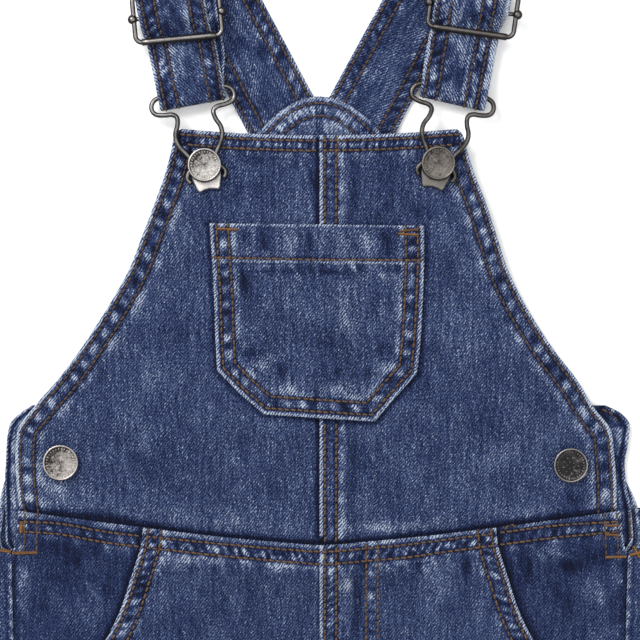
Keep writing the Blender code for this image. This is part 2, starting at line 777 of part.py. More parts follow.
def clasp_plate(name, side_name):
    """The small notched plate under the button, with a hole for its shank."""
    outline = list(PLATE_HALF) + [(-x, y) for x, y in PLATE_HALF[-2::-1]]
    low = bib_low(*BIB_BUTTONS[side_name]) + HEM_CLOTH + GAP
    data = bmesh.new()
    count = 24
    rims = []
    for k in range(count):
        turn = 2 * math.pi * k / count
        ray = Vector((math.sin(turn), math.cos(turn)))
        rims.append((ray * PLATE_HOLE, ray * ray_length(ray, outline)))
    levels = [[[data.verts.new(Vector((p.x, p.y, z)) * MM) for p in pair] for pair in rims]
              for z in (low, low + PLATE_THICK)]
    for k in range(count):
        m = (k + 1) % count
        bottom, top = levels
        data.faces.new((bottom[k][0], bottom[m][0], bottom[m][1], bottom[k][1]))
        data.faces.new((top[k][1], top[m][1], top[m][0], top[k][0]))
        data.faces.new((bottom[k][1], bottom[m][1], top[m][1], top[k][1]))
        data.faces.new((bottom[m][0], bottom[k][0], top[k][0], top[m][0]))
    item = finish(name, data, nickel(name))
    return lay_on(item, *BIB_BUTTONS[side_name], 0.0, STRAPS[side_name]["clasp_tilt"])


def ray_length(ray, outline):
    """How far a ray from the origin goes before it meets the outline."""
    for (ax, ay), (bx, by) in zip(outline, outline[1:] + outline[:1]):
        ex, ey = bx - ax, by - ay
        cross = ray.x * ey - ray.y * ex
        if abs(cross) < 1e-9:
            continue
        far = (ax * ey - ay * ex) / cross
        part = (ax * ray.y - ay * ray.x) / cross
        if far > 0.0 and -1e-6 <= part <= 1.0 + 1e-6:
            return far
    return 0.0


def slide(name, side_name):
    """A rectangular wire frame with a sleeved lower bar and a middle bar with knobbed ends."""
    w, h, c = SLIDE_HALF_WIDTH, SLIDE_HALF_HEIGHT, SLIDE_CORNER
    corners = ((w - c, h - c, 0), (c - w, h - c, 90), (c - w, c - h, 180), (w - c, c - h, 270))
    path = []
    for x, y, start in corners:
        for k in range(4):
            turn = math.radians(start + 30 * k)
            path.append(Vector((x + c * math.cos(turn), y + c * math.sin(turn), SLIDE_Z)) * MM)
    data = bmesh.new()
    tube(data, path, SLIDE_WIRE * MM, closed=True)
    frame = finish(name, data, nickel(name))
    sleeve = ((c - w - 0.5, -h, SLIDE_Z), (w - c + 0.5, -h, SLIDE_Z))
    bar = ((-w - SLIDE_OVERHANG, 0.0, SLIDE_BAR_Z), (w + SLIDE_OVERHANG, 0.0, SLIDE_BAR_Z))
    knob_z = SLIDE_Z - KNOB_DROP
    knobs = [((side * (w - KNOB_IN), 0.0, knob_z), (side * (w + KNOB_OUT), 0.0, knob_z))
             for side in (-1, 1)]
    joined = [(sleeve, SLIDE_SLEEVE), (bar, WIRE)] + [(knob, SLIDE_KNOB) for knob in knobs]
    lay = strap_layout(side_name)
    spot = lay["front"] - lay["down"] * lay["slide"]
    for number, (ends, radius) in enumerate(joined):
        data = bmesh.new()
        tube(data, [Vector(p) * MM for p in ends], radius * MM)
        guide = finish(f"{name}_part_{number}", data, frame.data.materials[0])
        guide.hide_render = True
        guide.display_type = "WIRE"
        lay_on(guide, spot.x, spot.y, 0.0, STRAPS[side_name]["slide_tilt"])
        union = frame.modifiers.new(f"join_{number}", "BOOLEAN")
        union.operation = "UNION"
        union.solver = "EXACT"
        union.object = guide
    return lay_on(frame, spot.x, spot.y, 0.0, STRAPS[side_name]["slide_tilt"])


def build():
    for item in list(bpy.data.objects):
        bpy.data.objects.remove(item, do_unlink=True)
    bib_pocket()
    for side, side_name in ((-1, "left"), (1, "right")):
        bib_half(f"bib_{side_name}", side)
        front_leg(f"front_leg_{side_name}", side)
        pocket_facing(f"pocket_facing_{side_name}", side)
        back_leg(f"back_leg_{side_name}", side)
        back_bib(f"back_bib_{side_name}", side)
        side_placket(f"side_placket_{side_name}", side)
        strap(f"strap_{side_name}", side, side_name)
        slide(f"slide_{side_name}", side_name)
        clasp_wire(f"clasp_wire_{side_name}", side_name)
        clasp_plate(f"clasp_plate_{side_name}", side_name)
        bib_button(f"bib_button_{side_name}", side_name)
        side_button(f"side_button_{side_name}", side_name)


build()
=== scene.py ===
import math

import bpy
import numpy as np
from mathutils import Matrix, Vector


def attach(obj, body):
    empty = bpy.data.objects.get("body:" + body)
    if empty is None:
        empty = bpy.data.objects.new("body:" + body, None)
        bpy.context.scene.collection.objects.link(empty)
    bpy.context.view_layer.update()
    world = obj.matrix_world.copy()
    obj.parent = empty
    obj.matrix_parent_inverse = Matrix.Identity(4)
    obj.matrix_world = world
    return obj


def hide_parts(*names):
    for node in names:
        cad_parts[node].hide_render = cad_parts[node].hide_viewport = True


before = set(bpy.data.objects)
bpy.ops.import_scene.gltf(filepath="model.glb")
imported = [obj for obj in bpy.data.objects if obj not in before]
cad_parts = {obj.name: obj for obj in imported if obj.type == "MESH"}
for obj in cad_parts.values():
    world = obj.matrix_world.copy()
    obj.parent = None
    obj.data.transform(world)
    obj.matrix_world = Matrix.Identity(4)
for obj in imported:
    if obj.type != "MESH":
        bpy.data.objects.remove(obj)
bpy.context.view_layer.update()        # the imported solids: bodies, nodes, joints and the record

# Small child's dungarees laid flat, front up. Sizes are in millimetres: x across the front, y up
# from the waist seam at the centre front, z off the surface.

mm = 0.001
grainScale = 0.01          # garment millimetres to the cloth's own map
mostWorn = 1.2             # the most that wear or shade counts
edgeTucks = (0.12, 0.35, 0.7, 1.2)      # rows of points this far in from a rounded edge
scene = bpy.context.scene
sides = (("left", -1), ("right", 1))

garment = {
    "shoulder": 317.5, "hem": -415.0, "crotch": 165.0,
    "waistRise": 15.0, "waistHalf": 133.0, "waistPower": 1.25,
    "cloth": 1.2, "hemCloth": 2.0, "strapCloth": 1.8, "gap": 0.3,
    "lap": 8.5, "lapFlat": 9.0, "lapEnd": 20.0, "lapStart": 12.0,
    "bibUnder": 13.0, "facingLift": 1.6, "sideWrap": 4.2,
}
middleY = (garment["shoulder"] + garment["hem"]) / 2
layer = garment["cloth"] + garment["gap"]


def put(points):
    # garment millimetres to the frame's metres
    made = np.array(points, dtype=float)
    made[..., 1] -= middleY
    return made * mm


def ramp(value, low, high):
    # 0 at low, 1 at high, held beyond
    return np.clip((value - low) / (high - low), 0.0, 1.0)


def ease(value):
    return value * value * (3.0 - 2.0 * value)


def glide(value, low, high):
    # a ramp that starts and ends softly
    return ease(ramp(value, low, high))


def hump(away, spread):
    # 1 on a line, less and less beside it
    return np.exp(-((away / spread) ** 2))


def rolled(away, width):
    # a quarter circle: 0 on a rounded edge, 1 from width on
    return np.sqrt(1.0 - (1.0 - ramp(away, 0.0, width)) ** 2)


def curveThrough(rows, column=1):
    # a smooth curve through a table's rows that never overshoots them
    spots = sorted(rows)
    at = np.array([row[0] for row in spots], dtype=float)
    value = np.array([row[column] for row in spots], dtype=float)
    step = np.diff(at)
    slope = np.diff(value) / step
    lean = np.zeros(len(at))
    before, after = slope[:-1], slope[1:]
    turning = before * after <= 0.0
    safe = np.where(turning, 1.0, before), np.where(turning, 1.0, after)
    first, second = 2 * step[1:] + step[:-1], step[1:] + 2 * step[:-1]
    lean[1:-1] = np.where(turning, 0.0, (first + second) / (first / safe[0] + second / safe[1]))
    lean[0], lean[-1] = slope[0], slope[-1]

    def read(x):
        x = np.clip(x, at[0], at[-1])
        k = np.clip(np.searchsorted(at, x, side="right") - 1, 0, len(step) - 1)
        t = (x - at[k]) / step[k]
        bend = step[k] * (t * (1 - t) ** 2 * lean[k] - t * t * (1 - t) * lean[k + 1])
        return value[k] * (1 - ease(t)) + value[k + 1] * ease(t) + bend

    return read


def nearest(x, y, line):
    # distance to a chain of points, and how far along the chain the nearest point is
    best = np.full(np.shape(x), 1e9)
    along = np.zeros(np.shape(x))
    run = 0.0
    for (ax, ay), (bx, by) in zip(line, line[1:]):
        dx, dy = bx - ax, by - ay
        length = math.hypot(dx, dy)
        part = np.clip(((x - ax) * dx + (y - ay) * dy) / length**2, 0.0, 1.0)
        away = np.hypot(x - ax - dx * part, y - ay - dy * part)
        closer = away < best
        best = np.where(closer, away, best)
        along = np.where(closer, run + part * length, along)
        run += length
    return best, along


def tucked(low, high, step):
    # even spacing with extra steps at both ends, where an edge is rounded
    inset = edgeTucks[-1]
    count = max(2, round((high - low - 2 * inset) / step))
    middle = np.linspace(low + inset, high - inset, count + 1)
    first = [low] + [low + t for t in edgeTucks[:-1]]
    last = [high - t for t in edgeTucks[-2::-1]] + [high]
    return np.concatenate([first, middle, last])


def across(low, high, count, tucks=edgeTucks):
    # the same for rows whose ends move: low and high are arrays, one value a row
    low, high = np.atleast_1d(low)[:, None], np.atleast_1d(high)[:, None]
    parts = np.linspace(0.0, 1.0, count + 1)[None, :]
    start, end = low + tucks[-1], high - tucks[-1]
    left = low + np.array([0.0, *tucks[:-1]])[None, :]
    right = high - np.array([*tucks[-2::-1], 0.0])[None, :]
    return np.concatenate([left, start + (end - start) * parts, right], axis=1)


def speckle(x, y, size, seed):
    # soft uneven patches from -1 to 1
    grid = np.random.default_rng(seed).uniform(-1.0, 1.0, (64, 64))
    u, v = x / size + 900.0, y / size + 900.0
    i, j = np.floor(u).astype(int), np.floor(v).astype(int)
    a, b = ease(u - i), ease(v - j)
    i0, i1, j0, j1 = i % 64, (i + 1) % 64, j % 64, (j + 1) % 64
    near = grid[i0, j0] * (1 - a) + grid[i1, j0] * a
    far = grid[i0, j1] * (1 - a) + grid[i1, j1] * a
    return near * (1 - b) + far * b


def unevenWave(beat, seed, length=900.0):
    # a wave along a seam with no two crests alike
    draw = np.random.default_rng(seed)
    count = int(length / beat * 2)
    spots = np.cumsum(draw.uniform(0.55, 1.45, count) * beat / 2)
    tops = draw.uniform(0.25, 1.0, count) * np.where(np.arange(count) % 2, -1.0, 1.0)

    def read(s):
        s = np.mod(s, spots[-2])
        k = np.clip(np.searchsorted(spots, s, side="right") - 1, 0, count - 2)
        part = ease(np.clip((s - spots[k]) / (spots[k + 1] - spots[k]), 0.0, 1.0))
        return tops[k] * (1 - part) + tops[k + 1] * part

    return read


def alongside(line, shift):
    # the line moved to its left by shift, with mitred corners
    spots = np.array(line, dtype=float)
    steps = np.diff(spots, axis=0)
    steps /= np.linalg.norm(steps, axis=1)[:, None]
    normals = np.stack([-steps[:, 1], steps[:, 0]], axis=1)
    first = np.vstack([normals[:1], normals])
    second = np.vstack([normals, normals[-1:]])
    both = first + second
    mitre = both / (np.sum(both * both, axis=1)[:, None] / 2)
    return spots + mitre * shift


def edgePoints(edge, side, start, end, count):
    # a chain of points down one side's edge, which is given as a distance from the centre at each height
    return [(side * float(edge(np.array(h))), h) for h in np.linspace(start, end, count)]


def resampled(line, step):
    # points every step along a chain, in any number of dimensions
    spots = np.array(line, dtype=float)
    run = np.concatenate([[0.0], np.cumsum(np.linalg.norm(np.diff(spots, axis=0), axis=1))])
    at = np.linspace(0.0, run[-1], max(2, round(run[-1] / step) + 1))
    return np.stack([np.interp(at, run, spots[:, k]) for k in range(spots.shape[1])], axis=1)


# outlines and heights that all layers share
sideEdge = (  # height, outermost half-width, side seam, front's edge
    (16.0, 144.2, 141.5, 135.0), (0.0, 146.6, 143.2, 136.6), (-4.0, 147.2, 138.4, 138.1),
    (-20.0, 148.6, 137.9, 137.6), (-43.0, 149.4, 137.4, 137.1), (-78.0, 149.5, 137.6, 137.3),
    (-165.0, 149.0, 138.2, 137.9), (-290.0, 147.6, 137.8, 137.5), (-415.0, 148.2, 139.6, 139.3),
)
pocketOpening = (  # height, distance from the centre
    (12.0, 78.7), (0.0, 80.0), (-5.4, 81.5), (-14.5, 84.5), (-27.5, 88.7), (-43.2, 96.3), (-56.0, 107.5),
    (-68.0, 122.0), (-78.0, 137.3),
)
outermost = curveThrough(sideEdge, 1)
sideSeam = curveThrough(sideEdge, 2)
frontEdge = curveThrough(sideEdge, 3)
openingAt = curveThrough(pocketOpening)
openingLine = edgePoints(openingAt, 1, 12.0, -78.0, 24)


def waist(x):
    return garment["waistRise"] * (np.abs(x) / garment["waistHalf"]) ** garment["waistPower"]


def lapRaise(x):
    # what lies over the centre lap is one layer higher
    before = glide(x, -garment["lapStart"], 0.0)
    after = glide(x, garment["lapEnd"], garment["lapFlat"])
    return layer * np.where(x < 0.0, before, after)


def bibLow(x, y):
    return 3.0 + glide(y, 110.0, 150.0) + 0.8 * (1.0 - (x / 140.0) ** 2)


def legInner(y):
    splay = 0.4 + 22.0 * ramp(y, -garment["crotch"], garment["hem"]) ** 0.85
    return np.where(y > -garment["crotch"] + 9.0, 0.0, splay)


def frontLow(x, y):
    part = ramp(np.abs(x), legInner(y), sideSeam(y))
    return 1.6 + 1.4 * part + 6.0 * part * (1.0 - part)


def frontBase(x, y):
    # over the bib's lower edge at the waist, on the back further down
    under = garment["bibUnder"]
    onBib = 1.0 - ramp(waist(x) - y, under + 1.0, 2.0 * under)
    return onBib * (bibLow(x, y) + layer + lapRaise(x)) + (1.0 - onBib) * frontLow(x, y)


def panelY(x, below):
    # rows follow the waist seam near it and are straight lower down
    return waist(x) * (1.0 - ramp(below, 26.0, 62.0)) - below


def whereRowMeets(below, edge):
    x = edge(-below)
    for _ in range(14):
        x = edge(panelY(x, below))
    return x


# seams, creases and worn places
def seamMarks(away, along, seam):
    # what a stitched seam does to the cloth beside its edge: rise, wear, and darker cloth, which is painted
    # shade in the stitch grooves and uneven wear between and beside the rows
    rows, beat, seed = seam["rows"], seam["beat"], seam["seed"]
    wave = unevenWave(beat, seed)(along + seam.get("lean", 0.2) * away)
    wave = 0.75 * wave + 0.55 * speckle(along, away * 1.3, beat * 0.42, seed + 25)
    slow = unevenWave(beat * 2.3, seed + 50)(along)
    rise, deep = np.zeros(np.shape(away)), np.zeros(np.shape(away))
    light = rows[0] * seam.get("foldReach", 0.98)
    worn = seam.get("fold", 1.0) * glide(away, light, light * 0.5) * (0.8 + 0.2 * wave)
    for row in rows:
        groove = hump(away - row, 0.78)
        rise -= 0.24 * groove
        # painted shade in the groove each row pulls into the cloth, with a little unfaded dye
        deep += seam.get("groove", 1.5) * groove * (0.8 + 0.2 * slow)
    puff = seam["puff"]
    if len(rows) > 1:
        band = np.sin(np.pi * ramp(away, rows[0] + 0.2, rows[-1] - 0.2)) ** 0.6
        rise += puff * band * (wave + 0.25)
        worn += 1.05 * seam.get("band", 1.0) * band * np.maximum(wave, 0.0)
        deep += 1.1 * seam.get("band", 1.0) * band * np.maximum(-wave, 0.0)
    beyond, spread, amount = seam.get("beyond", (1.8, 1.0, 0.25))
    ridge = hump(away - rows[-1] - beyond, spread)
    rise += 0.08 * ridge
    worn += amount * ridge * (0.7 + 0.5 * slow)
    tail = glide(away, rows[-1], rows[-1] + 0.8) * np.exp(-np.maximum(away - rows[-1], 0.0) / seam["reach"])
    rise += 0.7 * puff * tail * wave
    worn += 0.8 * tail * np.maximum(0.6 * wave + 0.7 * slow, 0.0)
    deep += 0.8 * tail * np.maximum(-0.6 * wave - 0.6 * slow, 0.0)
    return rise, worn, deep


def reliefOf(seams=(), creases=(), patches=(), billow=0.25, seed=1, paintedShadows=()):
    # the cloth's own relief: rise in millimetres, then wear with some painted highlight, and darkening with
    # painted shade, each from 0 to 1
    def at(x, y):
        rise = billow * (speckle(x, y, 26.0, seed) + 0.5 * speckle(x, y, 11.0, seed + 1))
        worn, deep = np.zeros(np.shape(x)), np.zeros(np.shape(x))
        for line, spread, amount in paintedShadows:
            # painted shadow: a dark strip beside an edge that lies on this panel
            deep += amount * hump(nearest(x, y, line)[0], spread)
        for seam in seams:
            away, along = nearest(x, y, seam["line"])
            up, light, dark = seamMarks(away, along, seam)
            reach = seam["rows"][-1] + 2.0
            near = glide(away, reach + 6.0, reach)
            rise = rise * (1.0 - 0.8 * near) + up
            worn, deep = worn + light, deep + dark
        # creases: raised ones lighter, sunken ones darker along their troughs
        for startX, startY, endX, endY, height, spread in creases:
            away, along = nearest(x, y, ((startX, startY), (endX, endY)))
            length = math.hypot(endX - startX, endY - startY)
            ends = np.sin(np.pi * np.clip(0.06 + 0.88 * along / length, 0.0, 1.0))
            wander = 1.0 + 0.35 * speckle(x, y, 9.0, seed + 7)
            shape = hump(away, spread * wander) * ends
            rise += height * shape
            if height > 0.0:
                worn += 0.55 * min(1.0, height) * shape
            else:
                deep += 0.6 * min(1.0, -height) * shape
        streaks = speckle(x + 0.25 * y, y * 0.3, 1.3, seed + 11)
        for spotX, spotY, halfWide, halfHigh, amount in patches:
            away = np.hypot((x - spotX) / halfWide, (y - spotY) / halfHigh)
            uneven = np.maximum(0.9 + 0.4 * speckle(x, y, 5.0, seed + 9) + 0.75 * streaks, 0.0)
            shape = np.exp(-(away**2)) * uneven
            if amount > 0.0:
                worn += amount * shape
            else:
                deep -= amount * shape
        return rise, worn, deep

    return at


# meshes
def link(name, data):
    item = bpy.data.objects.new(name, data)
    scene.collection.objects.link(item)
    return item


def makeMesh(name, points, faces, looks, material):
    mesh = bpy.data.meshes.new(name)
    mesh.from_pydata(put(points).tolist(), [], faces)
    for key, values in looks.items():
        if key in ("grain", "twist"):
            corner = np.empty(len(mesh.loops), dtype=np.int32)
            mesh.loops.foreach_get("vertex_index", corner)
            mesh.uv_layers.new(name=key).data.foreach_set("uv", values[corner].astype(np.float32).ravel())
        else:
            made = mesh.attributes.new(key, "FLOAT", "POINT")
            made.data.foreach_set("value", values.astype(np.float32).ravel())
    mesh.shade_smooth()
    mesh.materials.append(material)
    return link(name, mesh)


def joined(parts):
    points, faces, base = [], [], 0
    for spots, rings in parts:
        points.append(spots)
        faces += [tuple(base + k for k in ring) for ring in rings]
        base += len(spots)
    return np.concatenate(points), faces


def tubeFaces(rings, around, closed=False):
    # between rings of points: the ends are capped, or the last ring meets the first
    faces = []
    for i in range(rings if closed else rings - 1):
        low, high = i * around, (i + 1) % rings * around
        for k in range(around):
            m = (k + 1) % around
            faces.append((low + k, low + m, high + m, high + k))
    if not closed:
        faces += [tuple(range(around))[::-1], tuple(range((rings - 1) * around, rings * around))]
    return faces


def coarseSteps(count, stride):
    # the rows that the plainer face keeps
    tucks = len(edgeTucks)
    inner = list(range(tucks, count - tucks, stride))
    if inner[-1] != count - 1 - tucks:
        inner.append(count - 1 - tucks)
    return [0, 2] + inner + [count - 3, count - 1]


def makeShell(name, outer, inner, looks, material, stride=8):
    # one closed wall: a fine outer face and a plainer inner one, joined round the rim
    rows, columns = outer.shape[:2]
    index = np.arange(rows * columns).reshape(rows, columns)
    steps = coarseSteps(rows, stride), coarseSteps(columns, stride)
    back = {}
    extra = []
    for i in steps[0][1:-1]:
        for j in steps[1][1:-1]:
            back[i, j] = rows * columns + len(extra)
            extra.append(index[i, j])
    points = np.concatenate([outer.reshape(-1, 3), inner.reshape(-1, 3)[extra]])
    span = (outer[-1, 0] - outer[0, 0])[:2], (outer[0, -1] - outer[0, 0])[:2]
    flip = span[1][0] * span[0][1] - span[1][1] * span[0][0] < 0.0
    a, b, c, d = index[:-1, :-1], index[:-1, 1:], index[1:, 1:], index[1:, :-1]
    loop = (a, d, c, b) if flip else (a, b, c, d)
    faces = np.stack([part.ravel() for part in loop], axis=1).tolist()

    def corner(i, j):
        return back.get((i, j), int(index[i, j]))

    last = rows - 1, columns - 1
    for i0, i1 in zip(steps[0], steps[0][1:]):
        for j0, j1 in zip(steps[1], steps[1][1:]):
            low = [int(index[i0, j]) for j in range(j0 + 1, j1)] if i0 == 0 else []
            right = [int(index[i, j1]) for i in range(i0 + 1, i1)] if j1 == last[1] else []
            high = [int(index[i1, j]) for j in range(j1 - 1, j0, -1)] if i1 == last[0] else []
            left = [int(index[i, j0]) for i in range(i1 - 1, i0, -1)] if j0 == 0 else []
            ring = [corner(i0, j0), *low, corner(i0, j1), *right,
                    corner(i1, j1), *high, corner(i1, j0), *left]
            faces.append(ring if flip else ring[::-1])
    every = np.concatenate([np.arange(rows * columns), np.array(extra, dtype=int)])
    looks = {key: (value.reshape(-1, 2) if key == "grain" else value.ravel())[every]
             for key, value in looks.items()}
    return makeMesh(name, points, faces, looks, material)


def rimDistance(x, y):
    # plan distance of each grid point from the panel's rim
    def toEdge(px, py, ex, ey):
        run = np.hypot(px - ex[:, None], py - ey[:, None])
        tangent = np.gradient(ex), np.gradient(ey)
        size = np.hypot(*tangent) + 1e-9
        stepX, stepY = px[:, 3] - px[:, 0], py[:, 3] - py[:, 0]
        stepSize = np.hypot(stepX, stepY) + 1e-9
        square = np.abs(stepX * tangent[1] - stepY * tangent[0]) / size / stepSize
        return run * np.clip(square, 0.3, 1.0)[:, None]

    left = toEdge(x, y, x[:, 0], y[:, 0])
    right = toEdge(x[:, ::-1], y[:, ::-1], x[:, -1], y[:, -1])[:, ::-1]
    low = toEdge(x.T, y.T, x[0], y[0]).T
    high = toEdge(x[::-1].T, y[::-1].T, x[-1], y[-1]).T[::-1]
    return np.minimum(np.minimum(left, right), np.minimum(low, high))


def plainWall(x, y):
    return np.full(np.shape(x), garment["cloth"])


def wallWithHem(hem):
    # the cloth's thickness where it is single, hem 0, or turned in, hem 1
    return garment["cloth"] + (garment["hemCloth"] - garment["cloth"]) * hem


def layPanel(node, x, y, low, thick, relief, wash):
    # a cloth panel over the plan grid x, y, with every edge rolled over; also the height of its upper face
    rise, worn, deep = relief(x, y)
    base, wall = low(x, y), thick(x, y)
    rim = rimDistance(x, y)
    curl = rolled(rim, 0.55 * wall + 0.15)
    for edge in (np.s_[0, :], np.s_[-1, :], np.s_[:, 0], np.s_[:, -1]):
        curl[edge] = 0.0
    middle = base + wall / 2
    outer = np.stack([x, y, middle + wall / 2 * curl + rise * glide(rim, 0.0, 1.0)], axis=-1)
    inner = np.stack([x, y, middle - wall / 2 * curl], axis=-1)
    looks = {"worn": np.clip(worn, 0, mostWorn), "deep": np.clip(deep, 0, mostWorn),
             "grain": np.stack([x, y], axis=-1) * grainScale}
    panel = makeShell(node + "_cloth", outer, inner, looks, denims[wash])
    return panel, lambda px, py: low(px, py) + thick(px, py) + relief(px, py)[0]


# thread
stitching = {
    "length": 3.2, "pitch": 2.92, "radius": 0.46, "sink": 0.34, "sides": 6,
    "barRadius": 0.3, "barPitch": 0.42, "barLean": 0.18, "barStep": 0.4, "barLift": 0.3,
    # along one stitch: height, thickness, and painted light: painted shade at the ends where it goes down
    # into the cloth, a painted highlight on its top
    "bow": (-1.0, -0.15, 0.55, 0.7, 0.55, -0.15, -1.0),
    "girth": (0.45, 0.85, 1.0, 1.0, 1.0, 0.85, 0.45),
    "paintedLight": (-1.6, -0.5, 0.15, 0.35, 0.15, -0.5, -1.6),
}


def onHeight(line, height, step=0.35):
    # a plan line laid on a height: points and the way up
    flat = resampled(line, step)
    points = np.column_stack([flat, height(flat[:, 0], flat[:, 1])])
    return points, np.tile([0.0, 0.0, 1.0], (len(points), 1))


def dashes(total, seed):
    # cuts a run into stitches: for each the two ends as distances
    draw = np.random.default_rng(seed)
    count = max(1, int(total / stitching["pitch"]))
    starts = np.arange(count) * total / count + draw.uniform(-0.1, 0.1, count)
    return [(max(s, 0.0), min(s + stitching["length"] * draw.uniform(0.93, 1.07), total)) for s in starts]


def sewThreads(name, runs, colour, seed, single=False):
    # every stitch of a piece in one mesh of small bowed threads
    radius = stitching["barRadius"] if single else stitching["radius"]
    rings, around = len(stitching["bow"]), stitching["sides"]
    part = np.linspace(0.0, 1.0, rings)
    bow = np.array(stitching["bow"]) * stitching["sink"]
    girth = np.array(stitching["girth"]) * radius
    paintedLight = np.array(stitching["paintedLight"])
    turn = 2 * np.pi * np.arange(around) / around
    faces = tubeFaces(rings, around)
    parts, tones, twists = [], [], []
    draw = np.random.default_rng(seed)
    for number, (spots, ups) in enumerate(runs):
        gaps = np.linalg.norm(np.diff(spots, axis=0), axis=1)
        gone = np.concatenate([[0.0], np.cumsum(gaps)])
        for start, end in [(0.0, gaps.sum())] if single else dashes(gaps.sum(), seed + number):
            at = start + (end - start) * part
            centre = np.stack([np.interp(at, gone, spots[:, k]) for k in range(3)], axis=1)
            up = np.stack([np.interp(at, gone, ups[:, k]) for k in range(3)], axis=1)
            forward = centre[-1] - centre[0]
            forward /= np.linalg.norm(forward) + 1e-9
            side = np.cross(forward, up)
            side /= np.linalg.norm(side, axis=1)[:, None] + 1e-9
            skew = draw.uniform(-0.07, 0.07) + 0.3 * (part - 0.5)
            centre = centre + up * bow[:, None] + side * skew[:, None]
            ring = (centre[:, None] + side[:, None] * (np.cos(turn) * girth[:, None])[..., None]
                    + up[:, None] * (np.sin(turn) * girth[:, None] * 0.8)[..., None])
            parts.append((ring.reshape(-1, 3), faces))
            tones.append(np.repeat(draw.uniform(-0.7, 0.7) + paintedLight * (0.4 if single else 1.0), around))
            twist = np.broadcast_arrays((at - start)[:, None], turn[None, :])
            twists.append(np.stack(twist, -1).reshape(-1, 2))
    looks = {"tone": np.concatenate(tones), "twist": np.concatenate(twists)}
    return makeMesh(name, *joined(parts), looks, threads[colour])


def barTack(start, end, height, width):
    # close zigzag threads across a short bar
    start, end = np.array(start, dtype=float), np.array(end, dtype=float)
    length = np.linalg.norm(end - start)
    forward = (end - start) / length
    aside = np.array([-forward[1], forward[0]])
    runs = []
    for k, s in enumerate(np.arange(0.0, length, stitching["barPitch"])):
        lean = stitching["barLean"] * (1 if k % 2 else -1)
        middle = start + forward * s
        ends = [middle - aside * width / 2 - forward * lean, middle + aside * width / 2 + forward * lean]
        points, ups = onHeight(ends, height, stitching["barStep"])
        points[:, 2] += stitching["barLift"]
        runs.append((points, ups))
    return runs


def sewBars(name, bars, height, side, seed):
    # each bar is x, y, x, y and width, mirrored for the left
    runs = [run for ax, ay, bx, by, width in bars
            for run in barTack((side * ax, ay), (side * bx, by), height, width)]
    return sewThreads(name, runs, "bright", seed, single=True)


# materials
class Wire:
    # a node socket that does arithmetic by adding Math nodes
    def __init__(self, tree, socket=None):
        self.tree, self.socket = tree, socket

    def node(self, kind, settings=(), sockets=(), out=0):
        made = self.tree.nodes.new("ShaderNode" + kind)
        for key, value in dict(settings).items():
            if key == "stops":
                ramps = made.color_ramp.elements
                while len(ramps) < len(value):
                    ramps.new(0.5)
                for stop, (place, colour) in zip(ramps, value):
                    stop.position, stop.color = place, (*colour, 1.0)
            else:
                setattr(made, key, value)
        for key, value in dict(sockets).items():
            if isinstance(value, Wire):
                self.tree.links.new(value.socket, made.inputs[key])
            else:
                made.inputs[key].default_value = value
        return Wire(self.tree, made.outputs[out])

    def sum(self, kind, first, second=0.0):
        return self.node("Math", {"operation": kind}, {0: first, 1: second})

    def __add__(self, other):
        return self.sum("ADD", self, other)

    def __radd__(self, other):
        return self.sum("ADD", other, self)

    def __sub__(self, other):
        return self.sum("SUBTRACT", self, other)

    def __rsub__(self, other):
        return self.sum("SUBTRACT", other, self)

    def __mul__(self, other):
        return self.sum("MULTIPLY", self, other)

    def sine(self):
        return self.sum("SINE", self)

    def clamp(self):
        return self.sum("MAXIMUM", self.sum("MINIMUM", self, 1.0), 0.0)

    def between(self, low, high):
        return self.node("MapRange", {"interpolation_type": "SMOOTHSTEP"},
                         {"Value": self, "From Min": low, "From Max": high})

    def split(self):
        # the first two parts of a vector
        made = self.node("SeparateXYZ", {}, {0: self})
        return made, Wire(self.tree, made.socket.node.outputs[1])

    def attribute(self, name):
        return self.node("Attribute", {"attribute_name": name}, out=2)

    def noise(self, stretch, detail=2.0, roughness=0.5):
        # noise with its own scale in each direction
        spot = self.node("VectorMath", {"operation": "MULTIPLY"}, {0: self, 1: stretch})
        settings = {"Vector": spot, "Scale": 1.0, "Detail": detail, "Roughness": roughness}
        return self.node("TexNoise", {}, settings)

    def bump(self, strength, distance):
        return self.node("Bump", {}, {"Strength": strength, "Distance": distance, "Height": self})

    def mixed(self, first, second):
        # this value is the factor between two colours
        return self.node("Mix", {"data_type": "RGBA"}, {0: self, 6: first, 7: second}, out=2)


def linear(red, green, blue):
    # a colour on the screen's scale, 0 to 255, in Blender's own terms
    return tuple((c / 255 / 12.92 if c <= 10.3 else ((c / 255 + 0.055) / 1.055) ** 2.4)
                 for c in (red, green, blue))


def startMaterial(name, constants):
    material = bpy.data.materials.new(name)
    material.use_nodes = True
    tree = material.node_tree
    shader = tree.nodes["Principled BSDF"]
    for key, value in constants.items():
        shader.inputs[key].default_value = value
    return material, Wire(tree), shader


def plug(wire, shader, key):
    wire.tree.links.new(wire.socket, shader.inputs[key])


denimLook = {
    "stops": (  # from unwashed indigo to bare weft
        (0.0, linear(11, 11, 22)), (0.28, linear(13, 24, 55)), (0.5, linear(39, 50, 82)),
        (0.72, linear(75, 88, 117)), (1.0, linear(162, 171, 184)),
    ),
    "twill": 1.08, "steep": math.radians(52), "roughness": 0.9, "relief": 0.00016,
}
washes = {  # how faded each kind of piece is, and how strong its grain
    "bib": (0.465, 1.19), "pocket": (0.465, 1.25), "leg": (0.455, 1.1), "strap": (0.445, 1.1),
    "yoke": (0.59, 1.02), "facing": (0.41, 1.05), "placket": (0.48, 1.0), "back": (0.46, 1.15),
}


